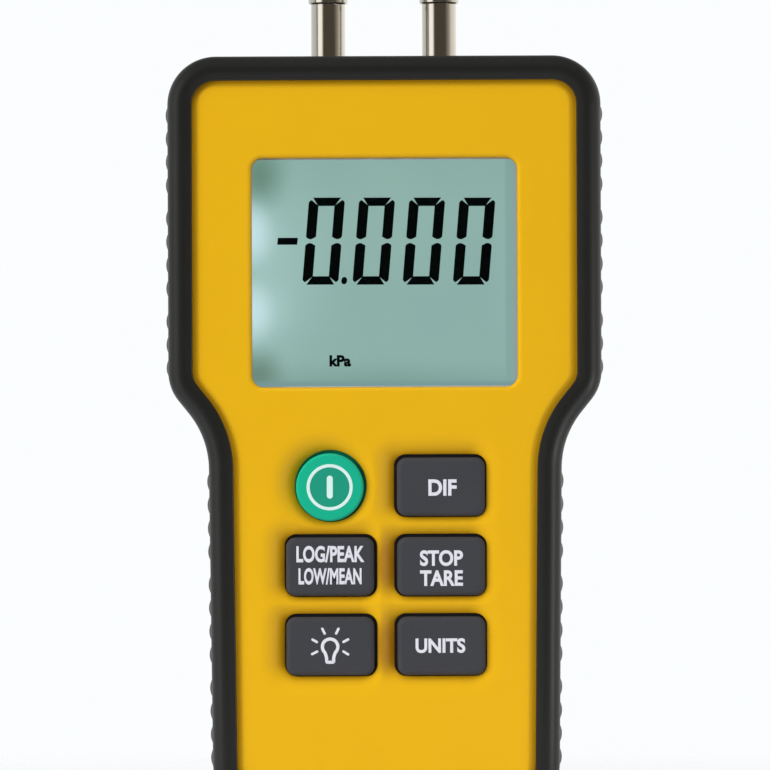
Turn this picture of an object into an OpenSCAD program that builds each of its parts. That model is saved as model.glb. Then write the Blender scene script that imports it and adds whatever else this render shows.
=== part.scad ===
// Handheld pressure meter in a rubber boot, with two hose barbs on its top edge.
// X runs to the right of the display, Y from the display to the back, and Z up.
// The origin is on the flat base, under the middle of the boot.

/* [Boot] */
// Width over the head
boot_w = 75; // [72:0.5:82]
// Height without the hose barbs
boot_h = 135; // [133:0.5:142]
// Depth from the front rim to the back rim
boot_d = 36; // [35.5:0.5:42]
// Width of the grip just below the shoulders
waist_w = 61.2; // [60:0.2:66]
// Width of the grip at the base
base_w = 59.8; // [59:0.2:65]
// Height at which the grip begins
waist_z = 69; // [66:0.2:71]
// Height of the shoulders' slope above the grip
shoulder_h = 8.6; // [7:0.2:10]
// Radius of the top corners
top_corner_r = 8.4; // [7:0.2:12]
// Radius of the shoulders
shoulder_r = 7.8; // [6.5:0.2:9]
// Radius of the hollow below each shoulder
waist_r = 15.6; // [12:0.2:18]
// Radius of the base corners
base_corner_r = 12.7; // [9:0.2:14]
// Thickness of the side wall
boot_wall = 2; // [1.6:0.1:2.4]
// Width of the front lip that covers the rim of the case
lip_w = 2.25; // [1.8:0.05:2.6]
// Thickness of the front lip
lip_t = 1.4; // [1.2:0.1:1.8]
// Width of the back lip
back_lip_w = 3; // [2:0.1:4]
// Thickness of the back lip
back_lip_t = 1.2; // [1:0.1:1.6]
// Rounding of the outer edges
boot_edge_r = 2.6; // [1.5:0.1:3.2]
// Rounding of the edges of both openings
lip_edge_r = 0.5; // [0.2:0.1:0.8]

/* [Grip ribs] */
// Height of a rib above the side wall
rib_h = 0.42; // [0.2:0.02:0.8]
// Width of a rib
rib_w = 3.2; // [2:0.1:3.8]
// Spacing of the ribs in a group
rib_pitch = 4.05; // [3.9:0.05:4.2]
// Spacing of the groups
rib_group_pitch = 17.9; // [17.6:0.1:18.4]
// Ribs in a group
ribs_per_group = 4; // [2:1:4]
// Length of a rib from front to back
rib_len = 26; // [16:0.5:28]
// Distance from the top of the boot to the first rib
rib_head_drop = 10; // [9.8:0.1:11]
// Distance from the top of the grip to its first rib
rib_grip_drop = 7.7; // [7.4:0.1:11]

/* [Case] */
// Wall of both halves of the case
case_wall = 2.2; // [2:0.1:2.6]
// How far the face stands above its rim
face_rise = 0.4; // [0.2:0.05:0.8]
// Width of the slope between the rim and the face
face_slope_w = 1.5; // [0.8:0.1:2]
// Rounding of the outer edges of the case
case_edge_r = 1; // [0.5:0.1:1.2]
// Gap between the case and the boot
boot_gap = 0.05; // [0.02:0.01:0.1]
// Height of the tongue along the joint of the two halves
tongue_h = 1; // [0.6:0.1:1.6]
// Thickness of the tongue
tongue_t = 0.9; // [0.7:0.1:1]

/* [Window] */
// Width of the boot and the face beside the window
window_side = 14.55; // [14:0.05:16.5]
// Distance from the top of the boot to the window
window_top = 17.7; // [17:0.1:20]
// Distance from the window to the middle of the top row of keys
window_key_gap = 17.1; // [16.8:0.1:20]
// Corner radius of the window opening
window_r = 2; // [1:0.1:4]
// Bevel round the window opening
window_bevel = 0.5; // [0.2:0.1:0.8]
// Thickness of the lens in the opening
lens_t = 1.8; // [1.6:0.1:1.8]
// Thickness of the flange of the lens
lens_flange_t = 1; // [0.6:0.1:1.1]
// Width of the flange of the lens
lens_flange_w = 2; // [1.5:0.1:2.4]
// Thickness of the adhesive frame
tape_t = 0.2; // [0.1:0.05:0.3]

/* [Keys] */
// Width of a key opening
key_open_w = 15.95; // [14:0.05:16.2]
// Height of a key opening
key_open_h = 10.8; // [9:0.1:11.2]
// Corner radius of a key opening
key_open_r = 2; // [1.4:0.1:3]
// Diameter of the opening of the round key
power_open_d = 12.4; // [10:0.1:12.8]
// Gap between a key and its opening on the middle
key_gap = 0.35; // [0.3:0.01:0.4]
// How far a key rests below the middle of its opening
key_sag = 0.2; // [0:0.05:0.2]
// How far a key rests outwards from the middle of its opening
key_lean = 0.15; // [0:0.05:0.2]
// Gap between the two columns
key_column_gap = 2.99; // [2.7:0.01:4]
// Gap between the round key's opening and the one below it
key_row_gap = 2.15; // [2:0.05:2.4]
// Height of the top row
key_top_row_z = 60.6; // [60.2:0.1:62]
// How far the keys stand above the face
key_proud = 0.5; // [0.2:0.1:1.2]
// Rounding of the upper edge of a key
key_edge_r = 0.9; // [0.4:0.1:1.2]
// Travel of a key
key_travel = 1; // [0.6:0.05:1.1]
// Width of the dished surround of a key
dish_w = 1.35; // [0.8:0.05:1.4]
// Depth of the dished surround of a key
dish_depth = 0.8; // [0.4:0.1:1]

/* [Hose barbs] */
// Spacing of the two barbs
port_pitch = 19.5; // [18:0.1:22]
// Diameter of the barrel
barrel_d = 6; // [5.4:0.1:6.4]
// Diameter of the barb ring
barb_d = 6.94; // [6.5:0.02:7.6]
// Height of the barb ring above the boot
barb_rise = 9.9; // [7:0.1:12]
// Height of the land of the barb ring
barb_land = 1; // [0.6:0.1:1.2]
// Length of the cone above the land
barb_cone = 3.6; // [2.5:0.1:5]
// Diameter of the tip
barb_tip_d = 4.9; // [4.4:0.1:5.2]
// Diameter of the bore at the tip
port_bore_d = 3.2; // [2.4:0.1:3.4]

/* [Circuit board] */
// Distance from the inside of the face to the board
board_drop = 7.4; // [7:0.1:7.8]
// Thickness of the board
board_t = 1.6; // [1.2:0.1:1.7]
// Height of the lower edge of the board
board_low_z = 15; // [14.4:0.1:17]
// Distance from the top of the boot to the upper edge of the board
board_top_drop = 12.5; // [12.3:0.1:13]

/* [Battery] */
// Room between the board and the battery tub
board_room = 1.7; // [1.65:0.05:3]
// Height of the band of parts between the battery tub and the pressure sensor
parts_band_h = 21.5; // [21:0.1:24]
// Width of the battery
battery_w = 26.2; // [25:0.1:26.6]
// Height of the terminals
terminal_h = 2.2; // [1.8:0.1:2.4]
// Thickness of the battery door
door_t = 1.5; // [1.2:0.1:1.6]

/* [Tilt stand] */
// Width of the stand
stand_w = 40; // [30:1:42]
// Distance between the foot of the stand and the battery door
stand_door_gap = 6; // [5.2:0.1:10]
// Thickness of the stand
stand_t = 1.8; // [1.4:0.1:2]

/* [Fasteners] */
// Diameter of the shank of a case screw
case_screw_d = 2.4; // [2:0.1:2.6]
// Diameter of the shank of a board screw
board_screw_d = 2; // [1.6:0.1:2.2]

/* [Hidden] */

// Overrun of every cut past the surface that it leaves
over = 0.5;
// Turn between neighbouring points of a rounded corner
arc_step = 12;
// Gap between flat pieces that are put together loosely
loose_gap = 0.1;
// Gap between a turning pin and its socket
pin_gap = 0.05;
// Gap between a moving panel and the edge of its recess
panel_gap = 0.3;

// Planes from front to back
front_y = -boot_d / 2;
back_y = boot_d / 2;
rim_y = front_y + lip_t;
face_y = rim_y - face_rise;
face_in_y = face_y + case_wall;
case_back_y = back_y - back_lip_t;
// Thickness of the rear wall, which carries the door and the stand
rear_wall = 2.4;
rear_in_y = case_back_y - rear_wall;
board_y = face_in_y + board_drop;
board_back_y = board_y + board_t;
// Distance from the back of the board to the axis of the hose barbs, where the case parts
port_rise = 5.8;
split_y = board_back_y + port_rise;

// Outline of the case, measured inwards from the outline of the boot
case_inset = boot_wall + boot_gap;
cavity_inset = case_inset + case_wall;
cavity_top_z = boot_h - cavity_inset;

shoulder_z = waist_z + shoulder_h;

function mirror_corner(c) = [-c[0], c[1], c[2]];

// Boot's corners as x, z and radius, counter-clockwise from the right-hand base corner
right_corners = [
    [base_w / 2, 0, base_corner_r],
    [waist_w / 2, waist_z, waist_r],
    [boot_w / 2, shoulder_z, shoulder_r],
    [boot_w / 2, boot_h, top_corner_r]];
body_corners = concat(right_corners,
    [for (i = [len(right_corners) - 1 : -1 : 0]) mirror_corner(right_corners[i])]);

function unit(v) = v / norm(v);
function left_of(v) = [-v[1], v[0]];
function flat(c) = [c[0], c[1]];

// Points of a closed outline with rounded corners, all moved inwards by inset.
// Each corner is an arc about a fixed centre, so outlines at two insets stay parallel.
function outline(corners, inset = 0) = [
    for (i = [0 : len(corners) - 1])
        let (count = len(corners),
            here = flat(corners[i]),
            before = flat(corners[(i + count - 1) % count]),
            after = flat(corners[(i + 1) % count]),
            n1 = left_of(unit(here - before)),
            n2 = left_of(unit(after - here)),
            side = sign(cross(n1, n2)),
            turn = acos(n1 * n2),
            radius = side * corners[i][2],
            centre = here + radius * (n1 + n2) / (1 + n1 * n2),
            steps = max(1, ceil(turn / arc_step)))
        for (k = [0 : steps])
            let (a = turn * k / steps,
                n = cos(a) * n1 + side * sin(a) * left_of(n1))
            centre - (radius - inset) * n];

function body_outline(inset) = outline(body_corners, inset);

function rect_corners(w, h, r) = [
    [w / 2, -h / 2, r], [w / 2, h / 2, r], [-w / 2, h / 2, r], [-w / 2, -h / 2, r]];

// A ring of outline points in the plane at depth y
function ring(points, y) = [for (p = points) [p[0], y, p[1]]];

// Plate with the outline given in x and z, from depth y0 to depth y1
module slab(points, y0, y1) {
    translate([0, y1, 0]) rotate([90, 0, 0]) linear_extrude(y1 - y0) polygon(points);
}

// Block between two opposite corners
module block(low, high) {
    translate(low) cube(high - low);
}

// Round rod along Y, on the axis through x and z
module rod_y(place, r, y0, y1) {
    translate([place[0], y0, place[1]]) rotate([-90, 0, 0]) cylinder(r = r, h = y1 - y0, $fn = 48);
}

// Round rod along X, on the axis through y and z
module rod_x(y, z, r, x0, x1) {
    translate([x0, y, z]) rotate([0, 90, 0]) cylinder(r = r, h = x1 - x0, $fn = 48);
}

// Turned piece about an axis along Y. The profile gives radius and depth.
module turned_y(place, profile) {
    translate([place[0], 0, place[1]]) rotate([-90, 0, 0])
        rotate_extrude($fn = 64) polygon(profile);
}

function side_faces(count, k, next) = [
    for (i = [0 : count - 1])
        let (a = k * count + i, b = next * count + i,
            c = next * count + (i + 1) % count, d = k * count + (i + 1) % count)
        each [[a, d, c], [a, c, b]]];

// Rows of triangles across an outline whose first half mirrors its second
function cap_faces(count, start, front) = [
    for (i = [0 : count / 2 - 2])
        let (a = start + i, b = a + 1, c = start + count - 2 - i, d = c + 1)
        each front ? [[a, c, b], [a, d, c]] : [[a, b, c], [a, c, d]]];

// Solid through rings of equal count that follow each other from front to back
module stack(rings) {
    count = len(rings[0]);
    last = len(rings) - 1;
    polyhedron(
        points = [for (r = rings) each r],
        faces = concat(
            [for (k = [0 : last - 1]) each side_faces(count, k, k + 1)],
            cap_faces(count, 0, true),
            cap_faces(count, last * count, false)));
}

// Solid through rings of equal count that come back to the first ring
module closed_sweep(rings) {
    count = len(rings[0]);
    total = len(rings);
    polyhedron(
        points = [for (r = rings) each r],
        faces = [for (k = [0 : total - 1]) each side_faces(count, k, (k + 1) % total)]);
}

// Quarter arc of a section as inset and depth, from the plane at y to the side at inset.
// Way is 1 where the piece lies behind the plane and -1 where it lies before it.
function edge_arc(inset, y, r, way) = [
    for (k = [0 : 3])
        let (a = 90 * k / 3)
        [inset + r * (1 - sin(a)), y + way * r * (1 - cos(a))]];

function reversed(list) = [for (i = [len(list) - 1 : -1 : 0]) list[i]];

// Rubber boot
front_lip_inset = boot_wall + lip_w;
back_lip_inset = boot_wall + back_lip_w;
port_x = port_pitch / 2;
// Gap between the boot and each barrel
port_hole_gap = 0.5;
port_hole_r = barrel_d / 2 + port_hole_gap;

// Section of the boot as inset and depth, round the wall and both lips
boot_section = concat(
    edge_arc(0, front_y, boot_edge_r, 1),
    reversed(edge_arc(0, back_y, boot_edge_r, -1)),
    [for (p = edge_arc(0, back_y, lip_edge_r, -1)) [back_lip_inset - p[0], p[1]]],
    [[back_lip_inset, case_back_y], [boot_wall, case_back_y],
        [boot_wall, rim_y], [front_lip_inset, rim_y]],
    [for (p = reversed(edge_arc(0, front_y, lip_edge_r, 1))) [front_lip_inset - p[0], p[1]]]);

// Half width of the boot at height z, away from its corners
function side_x(z) = z > waist_z ? boot_w / 2 : (base_w + (waist_w - base_w) * z / waist_z) / 2;

// Depth to which a rib is rooted in the side wall
rib_root = boot_wall / 2;
// Height of the hollow between two ribs, as a share of a rib's height
rib_floor_share = 0.125;
rib_floor = rib_h * rib_floor_share;
// Points across a rib, as shares of its half width
rib_shares = [-1, -0.7, -0.35, 0, 0.35, 0.7, 1];

// Scalloped strip with the lowest rib's middle at z
function rib_strip(z, count) = concat(
    [for (k = [0 : count - 1]) for (share = rib_shares)
        let (h = z + k * rib_pitch + share * rib_w / 2)
        [side_x(h) + rib_floor + rib_h * (1 - share * share), h]],
    [[side_x(z) - rib_root, z + (count - 1) * rib_pitch + rib_w / 2],
        [side_x(z) - rib_root, z - rib_w / 2]]);

// Ribs of a group that end above the given height
function rib_count(first, floor_z) =
    len([for (k = [0 : ribs_per_group - 1]) if (first - k * rib_pitch - rib_w / 2 > floor_z) k]);

module rib_groups(first, floor_z) {
    groups = floor((first - floor_z) / rib_group_pitch) + 1;
    for (g = [0 : groups - 1]) {
        top = first - g * rib_group_pitch;
        count = rib_count(top, floor_z);
        if (count > 0)
            slab(rib_strip(top - (count - 1) * rib_pitch, count), -rib_len / 2, rib_len / 2);
    }
}

module side_ribs() {
    shoulder_floor = shoulder_z + shoulder_r * tan(shoulder_turn / 2) - rib_w / 2;
    rib_groups(boot_h - rib_head_drop, shoulder_floor);
    rib_groups(waist_z - rib_grip_drop, base_corner_r - rib_w / 2);
}

// Angle between the side of the head and the slope of the shoulder
shoulder_turn = atan2(boot_w - waist_w, 2 * (shoulder_z - waist_z));

module rubber_boot() {
    color("#2c2d2c") difference() {
        union() {
            closed_sweep([for (p = boot_section) ring(body_outline(p[0]), p[1])]);
            side_ribs();
            mirror([1, 0, 0]) side_ribs();
        }
        for (x = [-port_x, port_x])
            translate([x, split_y, boot_h - boot_wall - over])
                cylinder(r = port_hole_r, h = boot_wall + 2 * over, $fn = 48);
    }
}

// Distance of the case screws from the side, the top and the base of the boot
case_screw_in = 8.7;
case_screw_drop = 8.6;
case_screw_rise = 10.6;
// Case screws as x and z
case_screw_places = [
    for (side = [-1, 1]) for (z = [boot_h - case_screw_drop, case_screw_rise])
        [side * (side_x(z) - case_screw_in), z]];
case_boss_r = 3.2;
case_screw_r = case_screw_d / 2;
case_screw_head_r = 2.75;
case_screw_head_h = 2;
// Depth of the recess of each case screw, and length of thread in the front boss
case_screw_sink = 6.5;
case_thread_len = 9;

// Distance of the board screws from the side, the top and the base of the boot
board_screw_in = 7.7;
board_screw_drop = 17.5;
board_screw_rise = 21;
// Board screws as x and z
board_screw_places = [
    for (side = [-1, 1]) for (z = [boot_h - board_screw_drop, board_screw_rise])
        [side * (side_x(z) - board_screw_in), z]];
board_boss_r = 2.75;
board_screw_r = board_screw_d / 2;
board_screw_head_r = 2.2;
board_screw_head_h = 1.5;
board_thread_len = 5;

// Spacing of the keys, and their places as x and z by column and row
key_pitch_x = key_open_w + key_column_gap;
key_pitch_z = (key_open_h + power_open_d) / 2 + key_row_gap;

function key_place(column, row) = [(column - 0.5) * key_pitch_x, key_top_row_z - row * key_pitch_z];
power_place = key_place(0, 0);
square_places = [key_place(1, 0), key_place(0, 1), key_place(1, 1), key_place(0, 2), key_place(1, 2)];
power_open_r = power_open_d / 2;

// Place at which a key rests in its opening
function key_rest(column, row) = key_place(column, row) + [(2 * column - 1) * key_lean, -key_sag];

function shifted(points, place) = [for (p = points) p + place];

// Cradle that holds the necks of the barbs, below their nuts
cradle_t = 2;
port_nut_h = 2.7;
port_neck_r = 2.6;
port_collar_r = 3.4;
port_nut_af = 10;
nut_top_z = cavity_top_z - loose_gap / 2;
nut_low_z = nut_top_z - port_nut_h;
cradle_top_z = nut_low_z - loose_gap / 2;
cradle_half_w = port_x + port_nut_af / 2 + cradle_t;

module port_cuts() {
    for (x = [-port_x, port_x]) {
        translate([x, split_y, cradle_top_z - cradle_t - over])
            cylinder(r = port_neck_r + pin_gap, h = cradle_t + 2 * over, $fn = 48);
        translate([x, split_y, cavity_top_z - over])
            cylinder(r = port_collar_r + pin_gap, h = case_wall + boot_gap + 2 * over, $fn = 48);
    }
}

// Front half of the case
module front_case() {
    color("#e3ae18") difference() {
        union() {
            difference() {
                stack([for (p = front_shell_section) ring(body_outline(p[0]), p[1])]);
                slab(body_outline(cavity_inset), face_in_y, split_y + over);
            }
            for (p = case_screw_places) rod_y(p, case_boss_r, face_in_y - over, split_y);
            for (p = board_screw_places) rod_y(p, board_boss_r, face_in_y - over, board_y);
            block([-cradle_half_w, face_in_y - over, cradle_top_z - cradle_t],
                [cradle_half_w, split_y, cradle_top_z]);
        }
        for (p = case_screw_places)
            rod_y(p, case_screw_r + pin_gap, split_y - case_thread_len - loose_gap, split_y + over);
        for (p = board_screw_places)
            rod_y(p, board_screw_r + pin_gap, board_y - board_thread_len - loose_gap, board_y + over);
        window_cut();
        for (p = square_places) square_key_cut(p);
        power_key_cut();
        port_cuts();
        groove_cut();
    }
}

front_shell_section = concat(
    [[front_lip_inset + loose_gap + face_slope_w, face_y], [front_lip_inset + loose_gap, rim_y]],
    edge_arc(case_inset, rim_y, case_edge_r, 1),
    [[case_inset, split_y]]);

module groove_cut() {
    difference() {
        slab(body_outline(cavity_inset - tongue_t - loose_gap),
            split_y - tongue_h - loose_gap, split_y + over);
        slab(body_outline(cavity_inset + over),
            split_y - tongue_h - 2 * loose_gap, split_y + 2 * over);
    }
}

window_w = boot_w - 2 * window_side;
window_low_z = key_top_row_z + window_key_gap;
window_h = boot_h - window_top - window_low_z;
window_z = window_low_z + window_h / 2;

module window_cut() {
    corners = rect_corners(window_w, window_h, window_r);
    slab(shifted(outline(corners), [0, window_z]), face_y - over, face_in_y + over);
    bevel_run = window_bevel + over;
    stack([
        ring(shifted(outline(corners, -bevel_run), [0, window_z]), face_y - over),
        ring(shifted(outline(corners, 0), [0, window_z]), face_y + window_bevel)]);
}

// Dish round a key: a slope, a floor and the key opening below it
module square_key_cut(place) {
    corners = rect_corners(key_open_w, key_open_h, key_open_r);
    slope = dish_w / dish_depth;
    stack([
        ring(shifted(outline(corners, -dish_w - slope * over), place), face_y - over),
        ring(shifted(outline(corners, -dish_w * dish_rise_share), place),
            face_y + dish_depth * dish_fall_share),
        ring(shifted(outline(corners, 0), place), face_y + dish_depth)]);
    slab(shifted(outline(corners), place), face_y, face_in_y + over);
}

// Point where the wall of a dish bends into its floor, as shares of its width and depth
dish_rise_share = 0.5;
dish_fall_share = 0.75;

module power_key_cut() {
    slope = dish_w / dish_depth;
    turned_y(power_place, [
        [0, face_y - over],
        [power_open_r + dish_w + slope * over, face_y - over],
        [power_open_r + dish_w * dish_rise_share, face_y + dish_depth * dish_fall_share],
        [power_open_r, face_y + dish_depth],
        [power_open_r, face_in_y + over],
        [0, face_in_y + over]]);
}

// Window lens with its flange, held by an adhesive frame
lens_front_y = face_in_y + tape_t - lens_t;
lens_back_y = face_in_y + tape_t + lens_flange_t;
lens_corners = rect_corners(window_w - 2 * loose_gap, window_h - 2 * loose_gap, window_r);

module window_lens() {
    color("#b9cfd2") union() {
        slab(shifted(outline(lens_corners), [0, window_z]), lens_front_y, lens_back_y);
        slab(shifted(outline(lens_corners, -lens_flange_w), [0, window_z]),
            face_in_y + tape_t, lens_back_y);
    }
}

module lens_tape() {
    color("#3a3a3c") difference() {
        slab(shifted(outline(lens_corners, -lens_flange_w), [0, window_z]),
            face_in_y, face_in_y + tape_t);
        slab(shifted(outline(lens_corners, -2 * loose_gap), [0, window_z]), face_in_y - over, lens_back_y);
    }
}

// Display: frame on the board, glass, polariser, light guide and two elastic connectors
frame_wall = 1.2;
frame_lip_w = 2.2;
frame_lip_t = 0.8;
glass_t = 1.1;
film_t = 0.2;
glass_side = 1.76;
glass_w = window_w + 2 * glass_side;
glass_h = window_h + 2 * frame_lip_w;
ledge_h = 2.4;
zebra_w = 1.4;
frame_w = glass_w + 2 * (loose_gap + frame_wall);
frame_h = glass_h + 2 * (loose_gap + frame_wall);
frame_y = lens_back_y + 2 * loose_gap;
glass_y = frame_y + frame_lip_t;
film_y = glass_y + 2 * glass_t;
guide_y = film_y + film_t;
guide_w = glass_w - 2 * frame_wall;
guide_h = glass_h - 2 * ledge_h - frame_wall;
// Pegs that place the frame on the board, as x and z
peg_r = 0.8;
peg_share = 0.3;
peg_places = [
    for (x = [-1, 1]) for (z = [-1, 1])
        [x * frame_w * peg_share, window_z + z * (frame_h - frame_wall) / 2]];

module window_box(w, h, y0, y1) {
    block([-w / 2, y0, window_z - h / 2], [w / 2, y1, window_z + h / 2]);
}

module lcd_frame() {
    color("#d8d8d4") difference() {
        union() {
            window_box(frame_w, frame_h, frame_y, board_y);
            for (p = peg_places) rod_y(p, peg_r, board_y - over, board_back_y);
        }
        window_box(glass_w + 2 * loose_gap, glass_h + 2 * loose_gap, glass_y, board_y + over);
        window_box(glass_w - 2 * frame_wall, glass_h - 2 * ledge_h + loose_gap,
            frame_y - over, glass_y + over);
    }
}

module lcd_glass() {
    color("#93b5ae") union() {
        window_box(glass_w, glass_h, glass_y, glass_y + glass_t);
        window_box(glass_w, glass_h - 2 * ledge_h, glass_y, film_y);
    }
}

module lcd_polariser() {
    color("#7d9790") window_box(guide_w, guide_h, film_y, guide_y);
}

module zebra_strips() {
    color("#c96f86") for (z = [-1, 1])
        translate([0, 0, window_z + z * (glass_h - ledge_h) / 2])
            block([-guide_w / 2, glass_y + glass_t, -zebra_w / 2], [guide_w / 2, board_y, zebra_w / 2]);
}

// Light guide with two notches for the diodes at its left-hand edge
led_w = 1.5;
led_h = 3.2;
led_spread = 12.1;

module backlight_guide() {
    color("#eef4f2") difference() {
        window_box(guide_w, guide_h, guide_y, board_y - loose_gap);
        for (z = [-1, 1]) translate([-guide_w / 2, 0, window_z + z * led_spread / 2])
            block([-over, guide_y - over, -led_h / 2 - loose_gap],
                [led_w + loose_gap, board_y, led_h / 2 + loose_gap]);
    }
}

module backlight_leds() {
    color("#f4f1df") for (z = [-1, 1])
        translate([-guide_w / 2, 0, window_z + z * led_spread / 2])
            block([0, board_y - led_w, -led_h / 2], [led_w, board_y, led_h / 2]);
}

// Circuit board and what is soldered to it
board_inset = cavity_inset + 1.2;

module circuit_board() {
    color("#1f6b43") difference() {
        intersection() {
            slab(body_outline(board_inset), board_y, board_back_y);
            block([-boot_w, board_y - over, board_low_z],
                [boot_w, board_back_y + over, boot_h - board_top_drop]);
        }
        for (p = board_screw_places)
            rod_y(p, board_screw_r + 2 * pin_gap, board_y - over, board_back_y + over);
        for (p = peg_places) rod_y(p, peg_r + pin_gap, board_y - over, board_back_y + over);
    }
}

// Block on the back of the board, with its middle at x and z
module chip(place, w, h, t) {
    translate([place[0], board_back_y, place[1]]) block([-w / 2, 0, -h / 2], [w / 2, t, h / 2]);
}

// Width of a leg as a share of the legs' spacing, and its thickness and the chip's lift
// off the board as shares of the chip's thickness
leg_w_share = 0.4;
leg_t_share = 0.25;
lift_share = 0.125;

// Row of legs along the right-hand side of a chip
module leg_row(w, t, legs, pitch) {
    leg_w = pitch * leg_w_share;
    for (k = [0 : legs - 1])
        translate([0, 0, (k - (legs - 1) / 2) * pitch])
            block([w / 2 - leg_w, 0, -leg_w / 2], [w / 2 + pitch, t * leg_t_share, leg_w / 2]);
}

// Chip body on legs along two sides or four, with its middle at x and z
module leaded_chip(place, w, h, t, legs, pitch, four) {
    lift = t * lift_share;
    translate([place[0], board_back_y, place[1]]) {
        block([-w / 2, lift, -h / 2], [w / 2, t, h / 2]);
        for (a = [0, 180]) rotate([0, a, 0]) leg_row(w, t, legs, pitch);
        if (four)
            for (a = [90, 270]) rotate([0, a, 0]) leg_row(h, t, legs, pitch);
    }
}

main_chip_x = -13;
main_chip_w = 10;
main_chip_legs = 7;
main_pitch = 1.2;
chip_t = 1.6;

module main_chip() {
    color("#26272a")
        leaded_chip([main_chip_x, band_z],
            main_chip_w, main_chip_w, chip_t, main_chip_legs, main_pitch, true);
}

amplifier_x = 14;
amplifier_pitch_z = 8;
amplifier_legs = 4;
amplifier_w = 4;
amplifier_h = 5;
amplifier_leg_pitch = 1.27;

module amplifier_chips() {
    color("#26272a") for (side = [-1, 1])
        leaded_chip([amplifier_x, band_z + side * amplifier_pitch_z / 2],
            amplifier_w, amplifier_h, chip_t, amplifier_legs, amplifier_leg_pitch, false);
}

capacitor_r = 3.15;
capacitor_h = 7;
capacitor_in = 14.5;
capacitor_pitch_z = 9;

module capacitors() {
    color("#27365e") for (side = [-1, 1])
        rod_y([boot_w / 2 - capacitor_in, window_z - capacitor_pitch_z / 2 + side * capacitor_pitch_z / 2],
            capacitor_r, board_back_y, board_back_y + capacitor_h);
}

crystal_len = 11;
crystal_w = 4.5;
crystal_h = 3.5;
crystal_x = 1;

module crystal_can() {
    color("#b8babb") union() {
        for (side = [-1, 1])
            rod_y([crystal_x + side * (crystal_len - crystal_w) / 2, band_z],
                crystal_w / 2, board_back_y, board_back_y + crystal_h);
        chip([crystal_x, band_z], crystal_len - crystal_w, crystal_w, crystal_h);
    }
}

resistor_w = 2;
resistor_h = 1.25;
resistor_t = 0.6;
resistor_pitch = 3;
resistor_in = 13.5;
resistor_count = 8;

module chip_resistors() {
    color("#3b3b3f") for (k = [0 : resistor_count - 1])
        chip([resistor_in - boot_w / 2, window_z + (k - resistor_count / 2) * resistor_pitch],
            resistor_w, resistor_h, resistor_t);
}

// Hose barbs: a turned body with a nut inside the case and a spigot for the inner tube
port_base_z = boot_h;
ring_z = port_base_z + barb_rise;
cone_z = ring_z + barb_land;
tip_z = cone_z + barb_cone;
spigot_r = 1.85;
spigot_len = 7.2;
spigot_bore_r = 1;
spigot_top_z = cradle_top_z - cradle_t - loose_gap;
spigot_low_z = spigot_top_z - spigot_len;
collar_top_z = boot_h - boot_wall - boot_gap + loose_gap;
bore_step_z = nut_low_z;
barb_edge = 0.25;

module port() {
    barrel_r = barrel_d / 2;
    barb_r = barb_d / 2;
    tip_r = barb_tip_d / 2;
    bore_r = port_bore_d / 2;
    union() {
        rotate_extrude($fn = 64) polygon([
            [spigot_bore_r, spigot_low_z], [spigot_r, spigot_low_z],
            [spigot_r, spigot_top_z], [port_neck_r, spigot_top_z],
            [port_neck_r, nut_low_z], [port_neck_r, nut_top_z - port_nut_h / 2],
            [port_collar_r, nut_top_z - port_nut_h / 2],
            [port_collar_r, collar_top_z - boot_gap], [barrel_r, collar_top_z - boot_gap],
            [barrel_r, ring_z], [barb_r - barb_edge, ring_z], [barb_r, ring_z + barb_edge],
            [barb_r, cone_z], [tip_r, tip_z - barb_edge], [tip_r - barb_edge, tip_z],
            [bore_r + barb_edge, tip_z], [bore_r, tip_z - barb_edge],
            [bore_r, bore_step_z], [spigot_bore_r, bore_step_z - bore_r]]);
        difference() {
            translate([0, 0, nut_low_z]) cylinder(d = port_nut_af / cos(30), h = port_nut_h, $fn = 6);
            translate([0, 0, nut_low_z - over])
                cylinder(r = port_neck_r - over, h = port_nut_h + 2 * over, $fn = 48);
        }
    }
}

module port_left() {
    color("#b9b3a8") translate([-port_x, split_y, 0]) port();
}

module port_right() {
    color("#b9b3a8") translate([port_x, split_y, 0]) port();
}

// Silicone tubes: straight over each spigot, with an S bend between them
tube_r = 2.9;
tube_bore_r = spigot_r + pin_gap;
bend_r = 12;
nipple_pitch = 10;
nipple_len = 5;
bend_shift = port_x - nipple_pitch / 2;
bend_turn = acos(1 - bend_shift / (2 * bend_r));
bend_drop = 2 * bend_r * sin(bend_turn);
bend_top_z = spigot_low_z - loose_gap;
bend_low_z = bend_top_z - bend_drop;
sensor_top_z = bend_low_z - nipple_len - 2 * loose_gap;
sensor_h = 13;
sensor_low_z = sensor_top_z - sensor_h;
// Middle of the band of parts between the sensor and the battery
band_z = sensor_low_z - parts_band_h / 2;

tube_sides = 16;
bend_steps = 5;
bend_shares = [for (k = [0 : bend_steps]) k / bend_steps];

// Middle of the tube as x, z and tilt, from the spigot down to the sensor
tube_route = concat(
    [[port_x, spigot_top_z - loose_gap, 0]],
    [for (share = bend_shares)
        let (a = share * bend_turn)
        [port_x - bend_r * (1 - cos(a)), bend_top_z - bend_r * sin(a), a]],
    [for (k = [bend_steps - 1 : -1 : 0])
        let (a = bend_shares[k] * bend_turn)
        [nipple_pitch / 2 + bend_r * (1 - cos(a)), bend_low_z + bend_r * sin(a), a]],
    [[nipple_pitch / 2, sensor_top_z, 0]]);

// Flat-sided ring whose sides stay outside radius r, square to the route
function tube_ring(stop, r) = [
    for (k = [0 : tube_sides - 1])
        let (a = 360 * (k + 0.5) / tube_sides,
            reach = r / cos(180 / tube_sides))
        [stop[0] + reach * cos(a) * cos(stop[2]),
            split_y + reach * sin(a),
            stop[1] - reach * cos(a) * sin(stop[2])]];

module tube() {
    closed_sweep(concat(
        [for (stop = tube_route) tube_ring(stop, tube_r)],
        [for (stop = reversed(tube_route)) tube_ring(stop, tube_bore_r)]));
}

module tube_right() {
    color("#d9d6c8") tube();
}

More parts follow.
